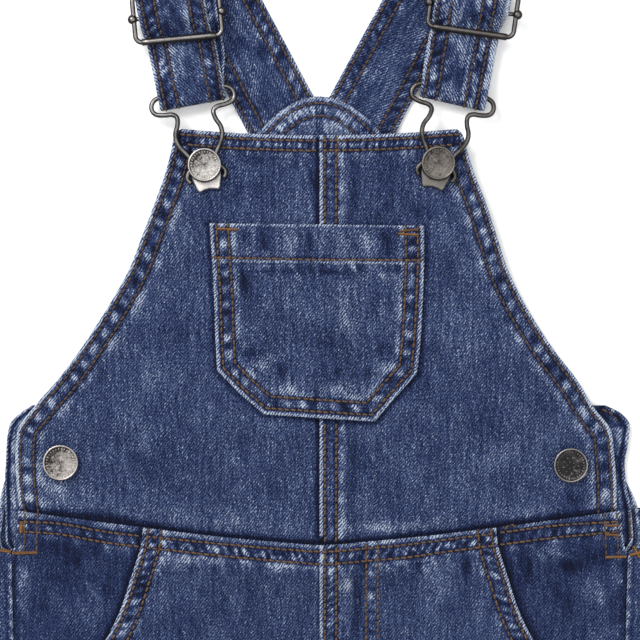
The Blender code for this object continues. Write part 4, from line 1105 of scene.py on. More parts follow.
def makeFrontLeg(sideName, side):
    right = side > 0
    opening = np.array(openingLine)

    def edge(y):
        return np.where(y > -78.0, openingAt(y), frontEdge(y))

    below = panelRows()
    outer = whereRowMeets(below, edge)
    inner = legInner(-below)
    if not right:
        inner = inner - garment["lap"] * (1.0 - ramp(below, 146.0, garment["crotch"] - 1.0))
    away = across(inner, outer, 116)
    x = side * away
    y = panelY(x, below[:, None])
    openingSide = np.column_stack([side * opening[:, 0], opening[:, 1]])
    openingSide = openingSide[openingSide[:, 1] < 8.5]
    sideLine = edgePoints(frontEdge, side, -80.0, -414.0, 16)
    inseam = edgePoints(legInner, side, -168.0, -414.0, 12)
    hem = [(side * 23.0, garment["hem"]), (side * 139.0, garment["hem"])]
    seams = [
        {"line": openingSide, "rows": leg["openingRows"], "beat": 4.6, "puff": 0.18, "reach": 2.0,
         "lean": 0.6, "seed": 80 + side},
        {"line": sideLine, "rows": (1.4,), "beat": 6.0, "puff": 0.25, "reach": 3.0, "fold": 0.0,
         "groove": 0.4, "seed": 84 + side},
        {"line": inseam, "rows": leg["seamRows"], "beat": 5.0, "puff": 0.2, "reach": 2.5, "seed": 88 + side},
        {"line": hem, "rows": (leg["hemRow"],), "beat": 4.6, "puff": 0.3, "reach": 4.0, "lean": 0.8,
         "fold": 0.35, "seed": 92 + side},
    ]
    if right:
        seams.append({"line": ((0.0, 3.0), (0.0, -160.0)), "rows": leg["centreRows"], "beat": 3.6,
                      "puff": 0.1, "reach": 1.6, "lean": 0.6, "seed": 96})
    # painted shadow beside the back leg's turned edge at the side seam
    fine = reliefOf(seams, leg["creases"][sideName], leg["patches"][sideName], 0.35, 25 + side,
                    [(sideLine, 1.0, 0.35)])

    def relief(px, py):
        rise, worn, deep = fine(px, py)
        seam = {"beat": 4.2, "reach": 4.5, "seed": 64 + side, "band": 1.4}
        up, light, dark = waistMarks(px, py, side, seam)
        if right:
            flyAway, along = nearest(px, py, flyLine(23.5))
            # painted shade in the groove of the fly's stitch row, with uneven wear beside it
            trough = hump(np.abs(flyAway - 2.6), 0.6)
            band = glide(flyAway, 2.6, 1.2)
            wave = unevenWave(5.0, 99)(along + 0.5 * flyAway)
            up = up - 0.18 * trough + 0.12 * band * wave
            light = light + 0.4 * band * np.maximum(wave, 0)
            dark = dark + 0.4 * trough + 0.45 * band * np.maximum(-wave, 0)
        near = glide(waist(px) - py, 16.0, 9.0)
        return rise * (1 - 0.6 * near) + up, worn + light, deep + dark

    def low(px, py):
        base = frontBase(px, py)
        base = base + garment["facingLift"] * glide(nearest(np.abs(px), py, opening)[0], 62.0, 33.0)
        if right:
            base = base + lapRaise(np.abs(px) - legInner(py)) * (1.0 - ramp(-py, 175.0, 215.0))
        return base + legFold(px, py)

    def thick(px, py):
        hemTop = garment["hem"] + leg["hemBand"]
        return wallWithHem(glide(py, hemTop + 0.6, hemTop - 0.6))

    panel, high = layPanel(f"front_leg_{sideName}", x, y, low, thick, relief, "leg")
    orange = []
    for row in leg["openingRows"]:
        line = alongside(openingSide, -row * side)
        orange.append(onHeight(line[line[:, 1] > -76.0 - row * 0.2], high))
    orange += waistStitches(side * (0.6 if right else -0.4), side * 78.0, 30, high)
    if right:
        for row in leg["centreRows"]:
            orange.append(onHeight(((row, -0.6), (row, -160.0)), high))
        for row in leg["flyRows"]:
            orange.append(onHeight(flyLine(row), high))
    for row in leg["seamRows"]:
        orange.append(onHeight(alongside(inseam, row * side), high))
    hemRow = garment["hem"] + leg["hemRow"]
    orange.append(onHeight([(side * 24.5, hemRow), (side * 137.5, hemRow)], high))
    sewn = sewThreads(f"front_leg_{sideName}_stitches", orange, "orange", 130 + side)
    under = [f"back_leg_{sideName}_cloth", f"bib_{sideName}_cloth"]
    later.append((panel, leg["cut"][sideName], under, (sewn,)))


facingInner = curveThrough((  # height, distance from the centre, under the front leg
    (12.0, 64.5), (0.0, 66.0), (-14.5, 70.5), (-27.5, 75.0), (-43.0, 82.5), (-60.0, 95.0), (-76.0, 112.0),
    (-88.0, 128.0), (-93.0, 133.2),
))


def makeFacing(sideName, side):
    # the hip piece outside the curved pocket opening, with the side's boxed flap
    below = tucked(0.0, 93.0, 0.95)
    away = across(whereRowMeets(below, facingInner), whereRowMeets(below, frontEdge), 66)
    x = side * away
    y = panelY(x, below[:, None])
    sideLine = edgePoints(frontEdge, side, 15.0, -92.0, 20)
    openingSide = [(side * a, h) for a, h in openingLine]
    seams = [{"line": sideLine, "rows": (1.4,), "beat": 5.0, "puff": 0.12, "reach": 2.0, "fold": 0.0,
              "groove": 0.4, "seed": 140 + side}]
    # painted shadow beside the back leg's turned edge, below the bar
    belowBar = [spot for spot in sideLine if spot[1] < -2.0]
    fine = reliefOf(seams, leg["facingCreases"][sideName], leg["facingPatches"][sideName], 0.3, 145 + side,
                    [(belowBar, 1.0, 0.35)])

    def relief(px, py):
        rise, worn, deep = fine(px, py)
        seam = {"beat": 4.6, "reach": 4.0, "seed": 68 + side, "band": 0.9}
        up, light, dark = waistMarks(px, py, side, seam)
        # painted shadow on the facing beside the front leg's folded opening edge
        shade = hump(nearest(px, py, openingSide)[0], 2.2)
        rubbed = leg["edgeLight"][sideName] * hump(nearest(px, py, sideLine)[0], 1.5) * ramp(py, -5.0, -2.0)
        return rise + up, worn + light + rubbed, deep + dark + 1.0 * shade + 0.1

    panel, high = layPanel(f"pocket_facing_{sideName}", x, y, frontBase, plainWall, relief, "facing")
    runs = waistStitches(side * 80.5, side * 133.2, 22, high)
    if side > 0:          # a loose loop of thread
        loop = onHeight([(a, waist(a) + up) for a, up in leg["looseLoop"]], high)
        loop[0][:, 2] += 0.35
        runs.append(loop)
    sewn = sewThreads(f"pocket_facing_{sideName}_stitches", runs, "orange", 150 + side)
    columns, foot, footBar = leg["boxes"][sideName]
    boxes = [onHeight(((side * a, 14.6), (side * b, foot)), high) for a, b in columns]
    brown = sewThreads(f"pocket_facing_{sideName}_box", boxes, "brown", 152 + side)
    bars = sewBars(f"pocket_facing_{sideName}_tacks", (*leg["endBars"][sideName], footBar), high, side, 154)
    under = [f"back_leg_{sideName}_cloth", f"bib_{sideName}_cloth"]
    later.append((panel, leg["facingCut"], under, (sewn, brown, bars)))


for sideName, side in sides:
    makeFrontLeg(sideName, side)
    makeFacing(sideName, side)
print("front legs made")


backLeg = {
    "cut": (0.164, 0.432, 0.0646),
    "bars": {"left": ((138.8, -3.1, 144.2, -2.4, 1.6),),
             "right": ((139.4, -4.6, 144.4, -3.4, 1.6), (141.0, -1.0, 143.4, -5.6, 1.6))},
}


def makeBackLeg(sideName, side):
    # flat on the surface, turned up round the side to the seam
    radius = garment["sideWrap"] / 2
    cloth = garment["cloth"]
    below = panelRows()
    out = whereRowMeets(below, outermost)
    seam = whereRowMeets(below, sideSeam)
    inner = np.maximum(0.15, legInner(-below))
    flatEnd = out - radius
    # for each step round the side: how far out and how high the outer and the inner face are
    steps = []
    for part in np.concatenate([[0.0, 0.002, 0.005, 0.009, 0.015], np.linspace(0.0, 1.0, 22)[1:]]):
        away = inner + (flatEnd - inner) * part
        steps.append((away, away, 0.0, cloth))
    for turn in np.linspace(0.0, math.pi, 15)[1:]:
        sin, cos = math.sin(turn), math.cos(turn)
        steps.append((flatEnd + radius * sin, flatEnd + (radius - cloth) * sin,
                      radius - radius * cos, radius - (radius - cloth) * cos))
    for part in np.concatenate([np.linspace(0.0, 0.86, 9)[1:], [0.92, 0.96, 0.985, 1.0]]):
        away = flatEnd - (flatEnd - seam) * part
        steps.append((away, away, garment["sideWrap"], garment["sideWrap"] - cloth))
    awayOut, awayIn, zOut, zIn = (np.array([value + np.zeros(len(below)) for value in column]).T
                                  for column in zip(*steps))
    x, xIn = side * awayOut, side * awayIn
    y, yIn = panelY(x, below[:, None]), panelY(xIn, below[:, None])
    y[0] -= 0.3
    yIn[0] -= 0.3
    toSeam = awayOut - seam[:, None]
    onTop = ramp(zOut, radius * 1.2, garment["sideWrap"] * 0.98)
    wave = unevenWave(5.5, 160 + side)(y + 500.0)
    soft = 0.3 * speckle(x, y, 16.0, 161) * onTop * ramp(toSeam, 0.5, 5.0)
    zOut = zOut + soft + 0.15 * wave * onTop * hump(toSeam - 3.0, 2.0)
    # the rim: roll both faces to the middle of the wall
    middle = (zOut + zIn) / 2
    for rim in (np.abs(awayOut - awayOut[:, :1]), np.abs(toSeam) + (1 - onTop) * 9):
        curl = rolled(rim, 0.8)
        zOut, zIn = middle + (zOut - middle) * curl, middle + (zIn - middle) * curl
    for row in (0, -1):
        x[row] = (x[row] + xIn[row]) / 2
        zOut[row], zIn[row] = middle[row], middle[row]
    outer, innerFace = np.stack([x, y, zOut], -1), np.stack([xIn, yIn, zIn], -1)
    worn = onTop * glide(toSeam, 2.2, 0.8) * (0.5 + 0.45 * wave)
    worn = worn + 0.25 * hump(zOut - radius, 1.2) * (wave > 0)
    deep = onTop * 0.3 * hump(toSeam - 2.8, 0.7)
    looks = {"worn": np.clip(worn, 0, 1), "deep": deep,
             "grain": np.stack([x + side * zOut, y], axis=-1) * grainScale}
    panel = makeShell(f"back_leg_{sideName}_cloth", outer, innerFace, looks, denims["back"], stride=6)

    def wrapTop(px, py):
        return np.full(np.shape(px), garment["sideWrap"] + 0.1)

    bars = sewBars(f"back_leg_{sideName}_tacks", backLeg["bars"][sideName], wrapTop, side, 165)
    later.append((panel, backLeg["cut"], ["floor"], (bars,)))


for sideName, side in sides:
    makeBackLeg(sideName, side)
print("back legs made")


# back above the waist, and the strips in the side openings
back = {
    "edge": (  # height, half-width left, right
        (15.2, 144.1, 143.0), (21.0, 143.4, 141.2), (28.0, 142.3, 139.0), (35.0, 141.2, 137.2),
        (42.0, 139.7, 136.2), (50.0, 136.5, 134.0), (58.0, 130.0, 129.0), (66.0, 120.0, 120.0),
        (80.0, 104.0, 104.0), (100.0, 85.0, 85.0), (125.0, 66.0, 66.0), (150.0, 51.0, 51.0),
        (170.1, 38.0, 38.0),
    ),
    "yokeY": 201.2, "yokeCurve": 0.0215, "yokeRows": (3.0, 8.6),
    "cut": (0.144, 0.201, 0.0138),
    "patches": ((-13, 193.5, 5, 2.6, 0.7), (-20, 187.5, 3.6, 2.6, 0.6), (-4.6, 195.5, 3, 2, 0.5),
                (0.0, 191, 1.0, 7, -0.3), (12, 194, 4, 2.4, 0.35), (22, 187, 4, 3, -0.5),
                (-11, 187, 4, 2, -0.4), (8, 187.6, 6, 1.8, 0.4), (-26, 184, 3, 3, -0.3)),
}


def makeBackBib(sideName, side):
    edge = curveThrough(back["edge"], 1 if side < 0 else 2)
    first, last = back["edge"][0][0], back["edge"][-1][0]
    heights = tucked(first, last, 1.1)
    part = ((heights - first) / (last - first))[:, None]
    away = across(np.full(len(heights), 0.03), edge(heights), 60)
    x = side * away
    arch = back["yokeY"] - back["yokeCurve"] * x * x - last
    y = heights[:, None] + (1.0 - part) ** 2 * (waist(x) - garment["waistRise"]) + part**2 * arch
    y[0] = waist(x[0]) + 0.3
    archAway = np.linspace(0.0, 38.0, 14)
    archLine = np.column_stack([side * archAway, back["yokeY"] - back["yokeCurve"] * archAway**2])
    sideLine = []
    for h in np.linspace(first + 1, last, 24):
        rise = (1 - (h - first) / (last - first)) ** 2 * float(waist(edge(h)) - garment["waistRise"])
        sideLine.append((side * float(edge(h)), h + rise))
    seams = [
        {"line": archLine, "rows": back["yokeRows"], "beat": 3.4, "puff": 0.16, "reach": 2.0, "fold": 0.4,
         "seed": 170 + side},
        {"line": sideLine, "rows": (2.0, 7.5), "beat": 5.0, "puff": 0.15, "reach": 2.0, "seed": 174 + side},
        {"line": ((0.0, 20.0), (0.0, 200.0)), "rows": (1.2,), "beat": 4.0, "puff": 0.08, "reach": 1.2,
         "fold": 0.25, "groove": 0.5, "seed": 176},
    ]
    relief = reliefOf(seams, (), back["patches"], 0.1, 178 + side)

    def low(px, py):
        return (garment["strapCloth"] + garment["gap"]) * glide(py, 140.0, 167.0)

    panel, high = layPanel(f"back_bib_{sideName}", x, y, low, plainWall, relief, "yoke")
    runs = []
    for row in back["yokeRows"]:
        line = alongside(archLine, -row * side)
        runs.append(onHeight(line[np.abs(line[:, 0]) < 36.0], high))
    sewn = sewThreads(f"back_bib_{sideName}_stitches", runs, "brown", 180 + side)
    later.append((panel, back["cut"], ["floor"], (sewn,)))


placket = {
    "edge": (  # height, outer edge left, right, inner edge
        (62.5, 129.0, 128.5, 122.0), (59.0, 134.5, 135.4, 118.0), (53.5, 139.3, 139.4, 116.0),
        (45.0, 140.6, 138.6, 115.0), (36.0, 141.0, 137.1, 115.0), (28.0, 141.4, 137.8, 115.0),
        (14.0, 141.2, 140.2, 115.0), (2.0, 141.1, 141.0, 116.0), (-3.2, 138.4, 138.4, 124.0),
    ),
    "row": {"left": 1.5, "right": 2.2},
    # on the right, a raised crease with a sunken one above it, whose darker trough is a painted shadow
    "creases": {"left": (), "right": ((130.5, 51.8, 138.6, 51.0, 0.7, 0.7),
                                      (130.5, 53.6, 138.4, 52.8, -0.9, 0.6))},
    "sewn": {"left": (), "right": (((126.5, 60.9), (131.0, 58.9), (134.3, 54.8)),
                                   ((139.2, 15.0), (140.0, 2.0)))},
    "cut": {"left": (0.0265, 0.066, 0.00163), "right": (0.0265, 0.066, 0.00154)},
    "patches": {
        "left": ((-139.7, 24.0, 0.6, 24.0, -1.2), (-137.4, 30.0, 1.5, 24.0, 0.6),
                 (-138.0, 1.0, 0.9, 4.0, -0.8), (-133.0, 58.5, 3.0, 1.6, 0.5)),
        # the right's first patch is a painted shadow in the hollow at the top of the placket
        "right": ((129.0, 59.0, 6.5, 3.8, -2.2), (135.5, 49.0, 3.6, 3.6, 0.7), (136.6, 36.0, 2.6, 6.0, -0.9),
                  (138.2, 14.0, 0.8, 12.0, -0.8), (140.2, 6.0, 0.8, 8.0, 0.7), (134.6, 20.0, 1.2, 9.0, 0.4)),
    },
}


def makePlacket(sideName, side):
    outerAt = curveThrough(placket["edge"], 1 if side < 0 else 2)
    innerAt = curveThrough(placket["edge"], 3)
    heights = tucked(-3.2, 62.5, 0.8)
    away = across(innerAt(heights), outerAt(heights), 40)
    x = side * away
    y = np.broadcast_to(heights[:, None], x.shape).copy()
    edgeLine = edgePoints(outerAt, side, -3.0, 62.0, 24)
    seams = [{"line": edgeLine, "rows": (placket["row"][sideName],), "beat": 5.0, "puff": 0.12, "reach": 1.4,
              "fold": 0.95, "seed": 190 + side}]
    relief = reliefOf(seams, placket["creases"][sideName], placket["patches"][sideName], 0.12, 192 + side)

    def low(px, py):
        return np.full(np.shape(px), layer)

    panel, high = layPanel(f"side_placket_{sideName}", x, y, low, plainWall, relief, "placket")
    sewing = ()
    if placket["sewn"][sideName]:
        runs = [onHeight(line, high) for line in placket["sewn"][sideName]]
        sewing = (sewThreads(f"side_placket_{sideName}_stitches", runs, "brown", 196),)
    later.append((panel, placket["cut"][sideName], [f"back_bib_{sideName}_cloth"], sewing))


for sideName, side in sides:
    makeBackBib(sideName, side)
    makePlacket(sideName, side)
print("back and plackets made")


# straps
straps = {
    "left": {"fold": (-79.0, 310.0), "back": (-18.2, 194.5), "slide": 37.9, "slideTilt": 5.4,
             "claspTilt": 10.5, "drift": ((0.0, 0.0), (10.0, 1.4), (18.0, 3.4), (33.0, 3.6), (46.0, 4.2)),
             "slideShift": -1.1, "slideAside": 0.6, "rub": -0.08, "rows": (2.5, 8.3, -7.3, -1.6)},
    "right": {"fold": (79.0, 304.0), "back": (19.2, 193.0), "slide": 40.4, "slideTilt": -8.2,
              "claspTilt": -13.0, "drift": ((0.0, 0.0), (14.0, -0.9), (30.0, -0.6), (40.0, 2.5), (50.0, 2.9)),
              "slideShift": -0.5, "slideAside": 1.6, "rub": 0.2, "rows": (1.9, 7.6, -9.4, -4.2)},
    "innerRows": (2.0, 7.3, -7.3, -2.0), "span": (-1.0, -0.78, 0.0, 0.78, 1.0),
    "halfBack": 17.0, "halfFront": 15.0, "usualHalf": 16.0, "underYoke": 12.0, "barCloth": 0.7,
    "returnRows": (0.0, 9.0, 17.0, 23.0, 27.5, 31.0, 34.0),
    "cut": {"left": (0.034, 0.313, 0.0104), "right": (0.034, 0.303, 0.0100)},
}
bibButtons = {"left": (-51.5, 170.2), "right": (53.1, 171.0)}
metal = {
    "wire": 0.95, "wireShown": 1.08, "foldAlong": 30.35, "barZ": 5.15, "slideHalf": (19.4, 10.6),
    "slideCorner": 3.0, "slideWire": 1.1, "sleeve": 1.55, "knob": 2.2, "slideZ": 7.4, "middleBarZ": 6.6,
}


def strapLayout(sideName):
    row = straps[sideName]
    tilt = math.radians(row["claspTilt"])
    claspUp = Vector((-math.sin(tilt), math.cos(tilt)))
    fold, backPoint = Vector(row["fold"]), Vector(row["back"])
    front = Vector(bibButtons[sideName]) + claspUp * metal["foldAlong"]
    up, down = (fold - backPoint).normalized(), (front - fold).normalized()
    crease = (up + down).normalized()
    crease *= 1.0 if crease.x > 0.0 else -1.0
    return {"fold": fold, "back": backPoint, "front": front, "up": up, "down": down, "crease": crease,
            "creaseOut": Vector((-crease.y, crease.x)), "upSide": Vector((up.y, -up.x)),
            "downSide": Vector((-down.y, down.x)), "claspDown": -claspUp, "length": (front - fold).length,
            "slideTilt": math.radians(row["slideTilt"]), "claspTilt": tilt}


def frontRow(lay, row, q, half, drift=0.0):
    # points across the front run, q above the clasp's bar
    square = math.atan2(lay["downSide"].y, lay["downSide"].x)
    slide, halfHigh = row["slide"], metal["slideHalf"][1]
    turn = lay["claspTilt"]
    turn += (lay["slideTilt"] - turn) * float(ramp(q, 14.0, slide - halfHigh))
    turn += (square - turn) * float(ramp(q, slide + halfHigh, slide + 30.0))
    line = Vector((math.cos(turn), math.sin(turn)))
    centre = lay["front"] - lay["down"] * q
    reach = half / line.dot(lay["downSide"])
    return [centre + line * (span * reach + drift) for span in straps["span"]]


def frontRunLow(q, slide):
    halfHigh, cloth, gap = metal["slideHalf"][1], garment["strapCloth"], garment["gap"]
    overClasp, overReturn, overBar, overBack = metal["barZ"] + metal["wire"] + gap, 4.2, 8.6, cloth + gap
    stops = ((0.0, overClasp), (5.0, overClasp), (17.0, overReturn), (slide - halfHigh, overReturn),
             (slide, overBar), (slide + halfHigh, overReturn), (slide + 22.0, overBack))
    for (q0, z0), (q1, z1) in zip(stops, stops[1:]):
        if q <= q1:
            return z0 + (z1 - z0) * float(glide(q, q0, q1))
    return overBack


def strapStations(sideName, side):
    # rows of points across the strap, outside and inside, and which stretch each row is in
    row, lay = straps[sideName], strapLayout(sideName)
    cloth, gap = garment["strapCloth"], garment["gap"]
    outside, inside, stretch = [], [], []
    backLength = (lay["fold"] - lay["back"]).length + straps["underYoke"]

    def half(part):
        return straps["halfBack"] + (straps["halfFront"] - straps["halfBack"]) * part

    def add(points, outZ, inZ, where):
        outside.append([(p.x, p.y, outZ) for p in points])
        inside.append([(p.x, p.y, inZ) for p in points])
        stretch.append(where)

    for along in (0.0, 5.0, 10.0, 16.0, 23.0, 32.0, 48.0, 66.0, 86.0, 104.0):
        centre = lay["fold"] - lay["up"] * (backLength - along)
        width = half(along / backLength * 0.5)
        room = (side * 0.2 - centre.x) / (lay["upSide"].x * -side)
        inner = min(width, room)
        spans = [span * (inner if span * -side > 0.0 else width) for span in straps["span"]]
        add([centre + lay["upSide"] * span for span in spans], 0.0, cloth, 0)
    width = half(0.5)
    reach = lay["crease"].dot(lay["upSide"])
    crease = [lay["fold"] + lay["crease"] * (span * width / reach) for span in straps["span"]]
    middle = cloth + gap / 2
    for step in range(9):
        turn = math.pi * step / 8
        push, rise = math.sin(turn), math.cos(turn)
        outside.append([(*(p + lay["creaseOut"] * middle * push), middle * (1.0 - rise)) for p in crease])
        inside.append([(*(p + lay["creaseOut"] * gap / 2 * push), middle - gap / 2 * rise) for p in crease])
        stretch.append(1)
    slide = row["slide"]
    stops = [slide + 34.0, slide + 22.0, slide + 16.0]
    stops += [slide + metal["slideHalf"][1] * k / 4 for k in range(4, -5, -1)]
    stops += [22.0, 17.0, 12.0, 5.0, 0.0]
    for q in stops:
        part = 0.5 + 0.5 * (1.0 - q / lay["length"])
        low = frontRunLow(q, slide)
        near = glide(q, slide - 12.0, slide - 6.0) * glide(q, slide + 40.0, slide + 24.0)
        pushed = row["slideShift"] * float(near)
        add(frontRow(lay, row, q, half(part), pushed), low + cloth, low, 2)
    innerRadius = metal["wire"] + gap
    outerRadius = innerRadius + cloth
    line = frontRow(lay, row, 0.0, half(1.0))
    for step in range(1, 8):
        turn = math.pi * step / 8
        push, rise = math.sin(turn), math.cos(turn)
        for face, radius in ((outside, outerRadius), (inside, innerRadius)):
            height = metal["barZ"] + radius * rise
            face.append([(*(p + lay["claspDown"] * radius * push), height) for p in line])
        stretch.append(3)
    low = metal["barZ"] - outerRadius
    for q in (*straps["returnRows"], slide, slide + 4.0, slide + 8.0):
        # close under the front run, and thin where both pass over the slide's middle bar
        drift = float(np.interp(q, *zip(*row["drift"])))
        top = max(low + cloth, frontRunLow(q, slide) - gap)
        wall = cloth + (straps["barCloth"] - cloth) * float(ramp(abs(q - slide), 6.0, 1.0))
        add(frontRow(lay, row, q, half(1.0), drift), top - wall, top, 4)
    return np.array(outside), np.array(inside), np.array(stretch)


def makeStrap(sideName, side):
    outside, inside, stretch = strapStations(sideName, side)
    middle = (outside + inside) / 2
    steps, outerSteps = (np.linalg.norm(np.diff(line[:, 2], axis=0), axis=1) for line in (middle, outside))
    gone = np.concatenate([[0.0], np.cumsum(np.maximum(steps, 0.4 * outerSteps))])
    ending = np.array([0.0, *edgeTucks[:3]])
    fine = [np.linspace(a, b, max(2, int((b - a) / 1.05) + 2))[:-1] for a, b in zip(gone, gone[1:])]
    rows = np.unique(np.concatenate([ending, *fine, gone[-1] - ending]))
    spans = np.array(straps["span"])
    widths = np.linalg.norm(outside[:, -1] - outside[:, 0], axis=1) / 2
    width = np.interp(rows, gone, widths)
    usual = straps["usualHalf"]
    spanFine = across(-usual, usual, 30, (0.12, 0.35, 0.7, 1.1))[0] / usual

    def spread(grid):
        # fine rows along the strap and fine columns across it, for x, y and z in turn
        made = np.empty((len(rows), len(spanFine), 3))
        for k in range(3):
            columns = [curveThrough(list(zip(gone, column)))(rows) for column in grid[:, :, k].T]
            for r, values in enumerate(zip(*columns)):
                made[r, :, k] = np.interp(spanFine, spans, values)
        return made

    outer, inner = spread(outside), spread(inside)
    centre, half = (outer + inner) / 2, (outer - inner) / 2
    thickness = np.linalg.norm(half, axis=-1, keepdims=True)
    normal = half / (thickness + 1e-9)
    toEdge = (1.0 - np.abs(spanFine))[None, :] * width[:, None]
    ends = np.minimum(rows - rows[0], rows[-1] - rows)[:, None]
    curl = rolled(toEdge, 0.95) * rolled(ends, 0.9)
    along = np.broadcast_to(rows[:, None], toEdge.shape)
    sideways = spanFine[None, :] * width[:, None]
    stretchFine = np.interp(rows, gone, stretch)[:, None]
    faces = {}
    for face in ("out", "in"):
        frontFace = face == "out"
        rowsAt = straps[sideName]["rows"] if frontFace else straps["innerRows"]
        rise, worn, deep = (np.zeros(toEdge.shape) for _ in range(3))
        for number, (way, pair) in enumerate(((1, rowsAt[:2]), (-1, rowsAt[2:][::-1]))):
            seam = {"rows": tuple(abs(row) for row in pair), "beat": 5.2, "puff": 0.16, "reach": 2.2,
                    "lean": 0.7, "fold": 0.85, "band": 0.85, "seed": 200 + number * 7 + side + 3 * frontFace}
            up, light, dark = seamMarks(width[:, None] + sideways * way, along, seam)
            rise, worn, deep = rise + up, worn + light, deep + dark
        soft = 0.25 * speckle(sideways, along, 9.0, 210 + side) + 0.12 * speckle(sideways, along, 4.0, 212)
        rubbed = speckle(sideways, along * 0.6, 5.5, 214 + side)
        rubbed = rubbed + 0.5 * speckle(sideways, along * 0.7, 2.6, 216)
        streaks = speckle(sideways, along * 0.22, 1.5, 218 + side)
        strength = 1.0 if frontFace else 0.6
        light = (0.25 * rubbed + 0.5 * streaks) * strength + straps[sideName]["rub"] * frontFace
        worn = worn + np.maximum(light, 0.0)
        deep = deep + strength * np.maximum(-0.45 * rubbed - 0.5 * streaks, 0.0)
        faces[face] = rise + soft * 0.6, worn * (1.0 if frontFace else 0.8), deep
    lift = np.minimum(ramp(toEdge, 0.0, 0.9), ramp(ends, 0.0, 0.9))
    outerFace = centre + half * curl[..., None] + normal * (faces["out"][0] * lift)[..., None]
    innerFace = centre - half * curl[..., None] - normal * (faces["in"][0] * lift)[..., None]
    # keep the folds round the shoulder and the clasp bar clean inside
    folded = ((stretchFine > 0.4) & (stretchFine < 1.6)) | ((stretchFine > 2.5) & (stretchFine < 3.6))
    outerFace = np.where(folded[..., None], centre + half * curl[..., None], outerFace)
    innerFace = np.where(folded[..., None], centre - half * curl[..., None], innerFace)
    outerFace[..., 2] = np.maximum(outerFace[..., 2], 0.0)   # the back run lies flat
    seenIn = stretchFine < 0.8                               # the back run shows its inner face
    worn = np.where(seenIn, faces["in"][1], faces["out"][1])
    deep = np.where(seenIn, faces["in"][2], faces["out"][2])
    looks = {"worn": np.clip(worn, 0, mostWorn), "deep": np.clip(deep, 0, mostWorn),
             "grain": np.stack([sideways, along], axis=-1) * grainScale}
    panel = makeStrapShell(f"strap_{sideName}_cloth", outerFace, innerFace, looks, denims["strap"])

    def runAt(face, offset, first, last):
        # a stitch row on one face, offset from the left edge, or from the right one if negative
        grid = outerFace if face == "out" else innerFace
        keep = (rows > first) & (rows < last)
        at = np.where(offset > 0, -width + offset, width + offset)[keep]
        points = np.empty((keep.sum(), 3))
        ups = np.empty((keep.sum(), 3))
        sign = 1.0 if face == "out" else -1.0
        for number, r in enumerate(np.flatnonzero(keep)):
            for k in range(3):
                points[number, k] = np.interp(at[number], sideways[r], grid[r, :, k])
                ups[number, k] = np.interp(at[number], sideways[r], normal[r, :, k]) * sign
        return points, ups

    startOf = {k: gone[np.flatnonzero(stretch == k)[0]] for k in range(5)}
    runs = [runAt("in", offset, 2.0, startOf[1] - 1.0) for offset in straps["innerRows"]]
    runs += [runAt("out", offset, startOf[1] + 2.0, startOf[4]) for offset in straps[sideName]["rows"]]
    sewn = sewThreads(f"strap_{sideName}_stitches", runs, "brown", 220 + side)
    restsOn = [f"back_bib_{sideName}_cloth", f"clasp_wire_{sideName}_bent", f"slide_{sideName}_frame"]
    later.append((panel, straps["cut"][sideName], restsOn, (sewn,)))


def makeStrapShell(name, outer, inner, looks, material):
    # both faces are fine here, because each shows on one stretch
    rows, columns = outer.shape[:2]
    count = rows * columns
    index = np.arange(count).reshape(rows, columns)
    backIndex = index + count
    rim = np.zeros((rows, columns), dtype=bool)
    rim[0], rim[-1], rim[:, 0], rim[:, -1] = True, True, True, True
    numbers = np.where(rim, index, backIndex)
    used, packed = np.unique(np.concatenate([index.ravel(), numbers.ravel()]), return_inverse=True)
    packed = packed.ravel()
    front, behind = packed[:count].reshape(rows, columns), packed[count:].reshape(rows, columns)
    points = np.concatenate([outer.reshape(-1, 3), inner.reshape(-1, 3)])[used]

    def quads(grid, flip):
        loop = (grid[:-1, :-1], grid[:-1, 1:], grid[1:, 1:], grid[1:, :-1])
        loop = loop[::-1] if flip else loop
        return np.stack([part.ravel() for part in loop], axis=1).tolist()

    middle = rows // 4, columns // 2
    a, b, c = (outer[middle], outer[middle[0], middle[1] + 1], outer[middle[0] + 1, middle[1]])
    outward = outer[middle] - inner[middle]
    flip = float(np.dot(np.cross(b - a, c - a), outward)) < 0.0
    faces = quads(front, flip) + quads(behind, not flip)
    made = {key: np.concatenate([value.reshape(count, -1)] * 2)[used] for key, value in looks.items()}
    made = {key: value if value.shape[1] == 2 else value.ravel() for key, value in made.items()}
    return makeMesh(name, points, faces, made, material)


for sideName, side in sides:
    makeStrap(sideName, side)
print("straps made")


# metal
claspHalf = (  # half of the bent wire from the button's centre: across, along, height
    (0.0, 33.4, 5.15), (10.0, 33.4, 5.15), (15.0, 33.3, 5.15), (17.7, 32.0, 5.2), (18.8, 29.6, 5.35),
    (18.4, 27.4, 5.6), (16.9, 26.0, 5.85), (13.8, 25.2, 6.3), (10.6, 24.9, 6.8), (8.7, 23.8, 7.2),
    (8.2, 22.0, 7.6), (8.8, 19.2, 8.05), (10.2, 16.0, 8.2), (10.4, 12.8, 8.2), (9.3, 9.6, 8.15),
    (7.4, 6.6, 8.1), (5.9, 4.2, 8.0), (5.6, 1.8, 7.95), (6.4, -0.8, 7.95), (7.7, -2.3, 7.95),
    (8.7, -4.2, 7.95), (8.3, -5.9, 7.95), (7.3, -7.1, 7.9),
)
plateHalf = ((3.4, 4.1), (4.0, -1.0), (7.1, -3.8), (4.7, -12.0), (2.4, -11.1), (0.0, -10.8))


def smoothPath(points, steps):
    spots = np.array(points, dtype=float)
    spots = np.vstack([spots[0] * 2 - spots[1], spots, spots[-1] * 2 - spots[-2]])
    t = (np.arange(steps) / steps)[:, None]
    path = [0.5 * (2 * b + (c - a) * t + (2 * a - 5 * b + 4 * c - d) * t**2 + (3 * b - 3 * c + d - a) * t**3)
            for a, b, c, d in zip(spots, spots[1:], spots[2:], spots[3:])]
    return np.vstack([*path, spots[-2]])


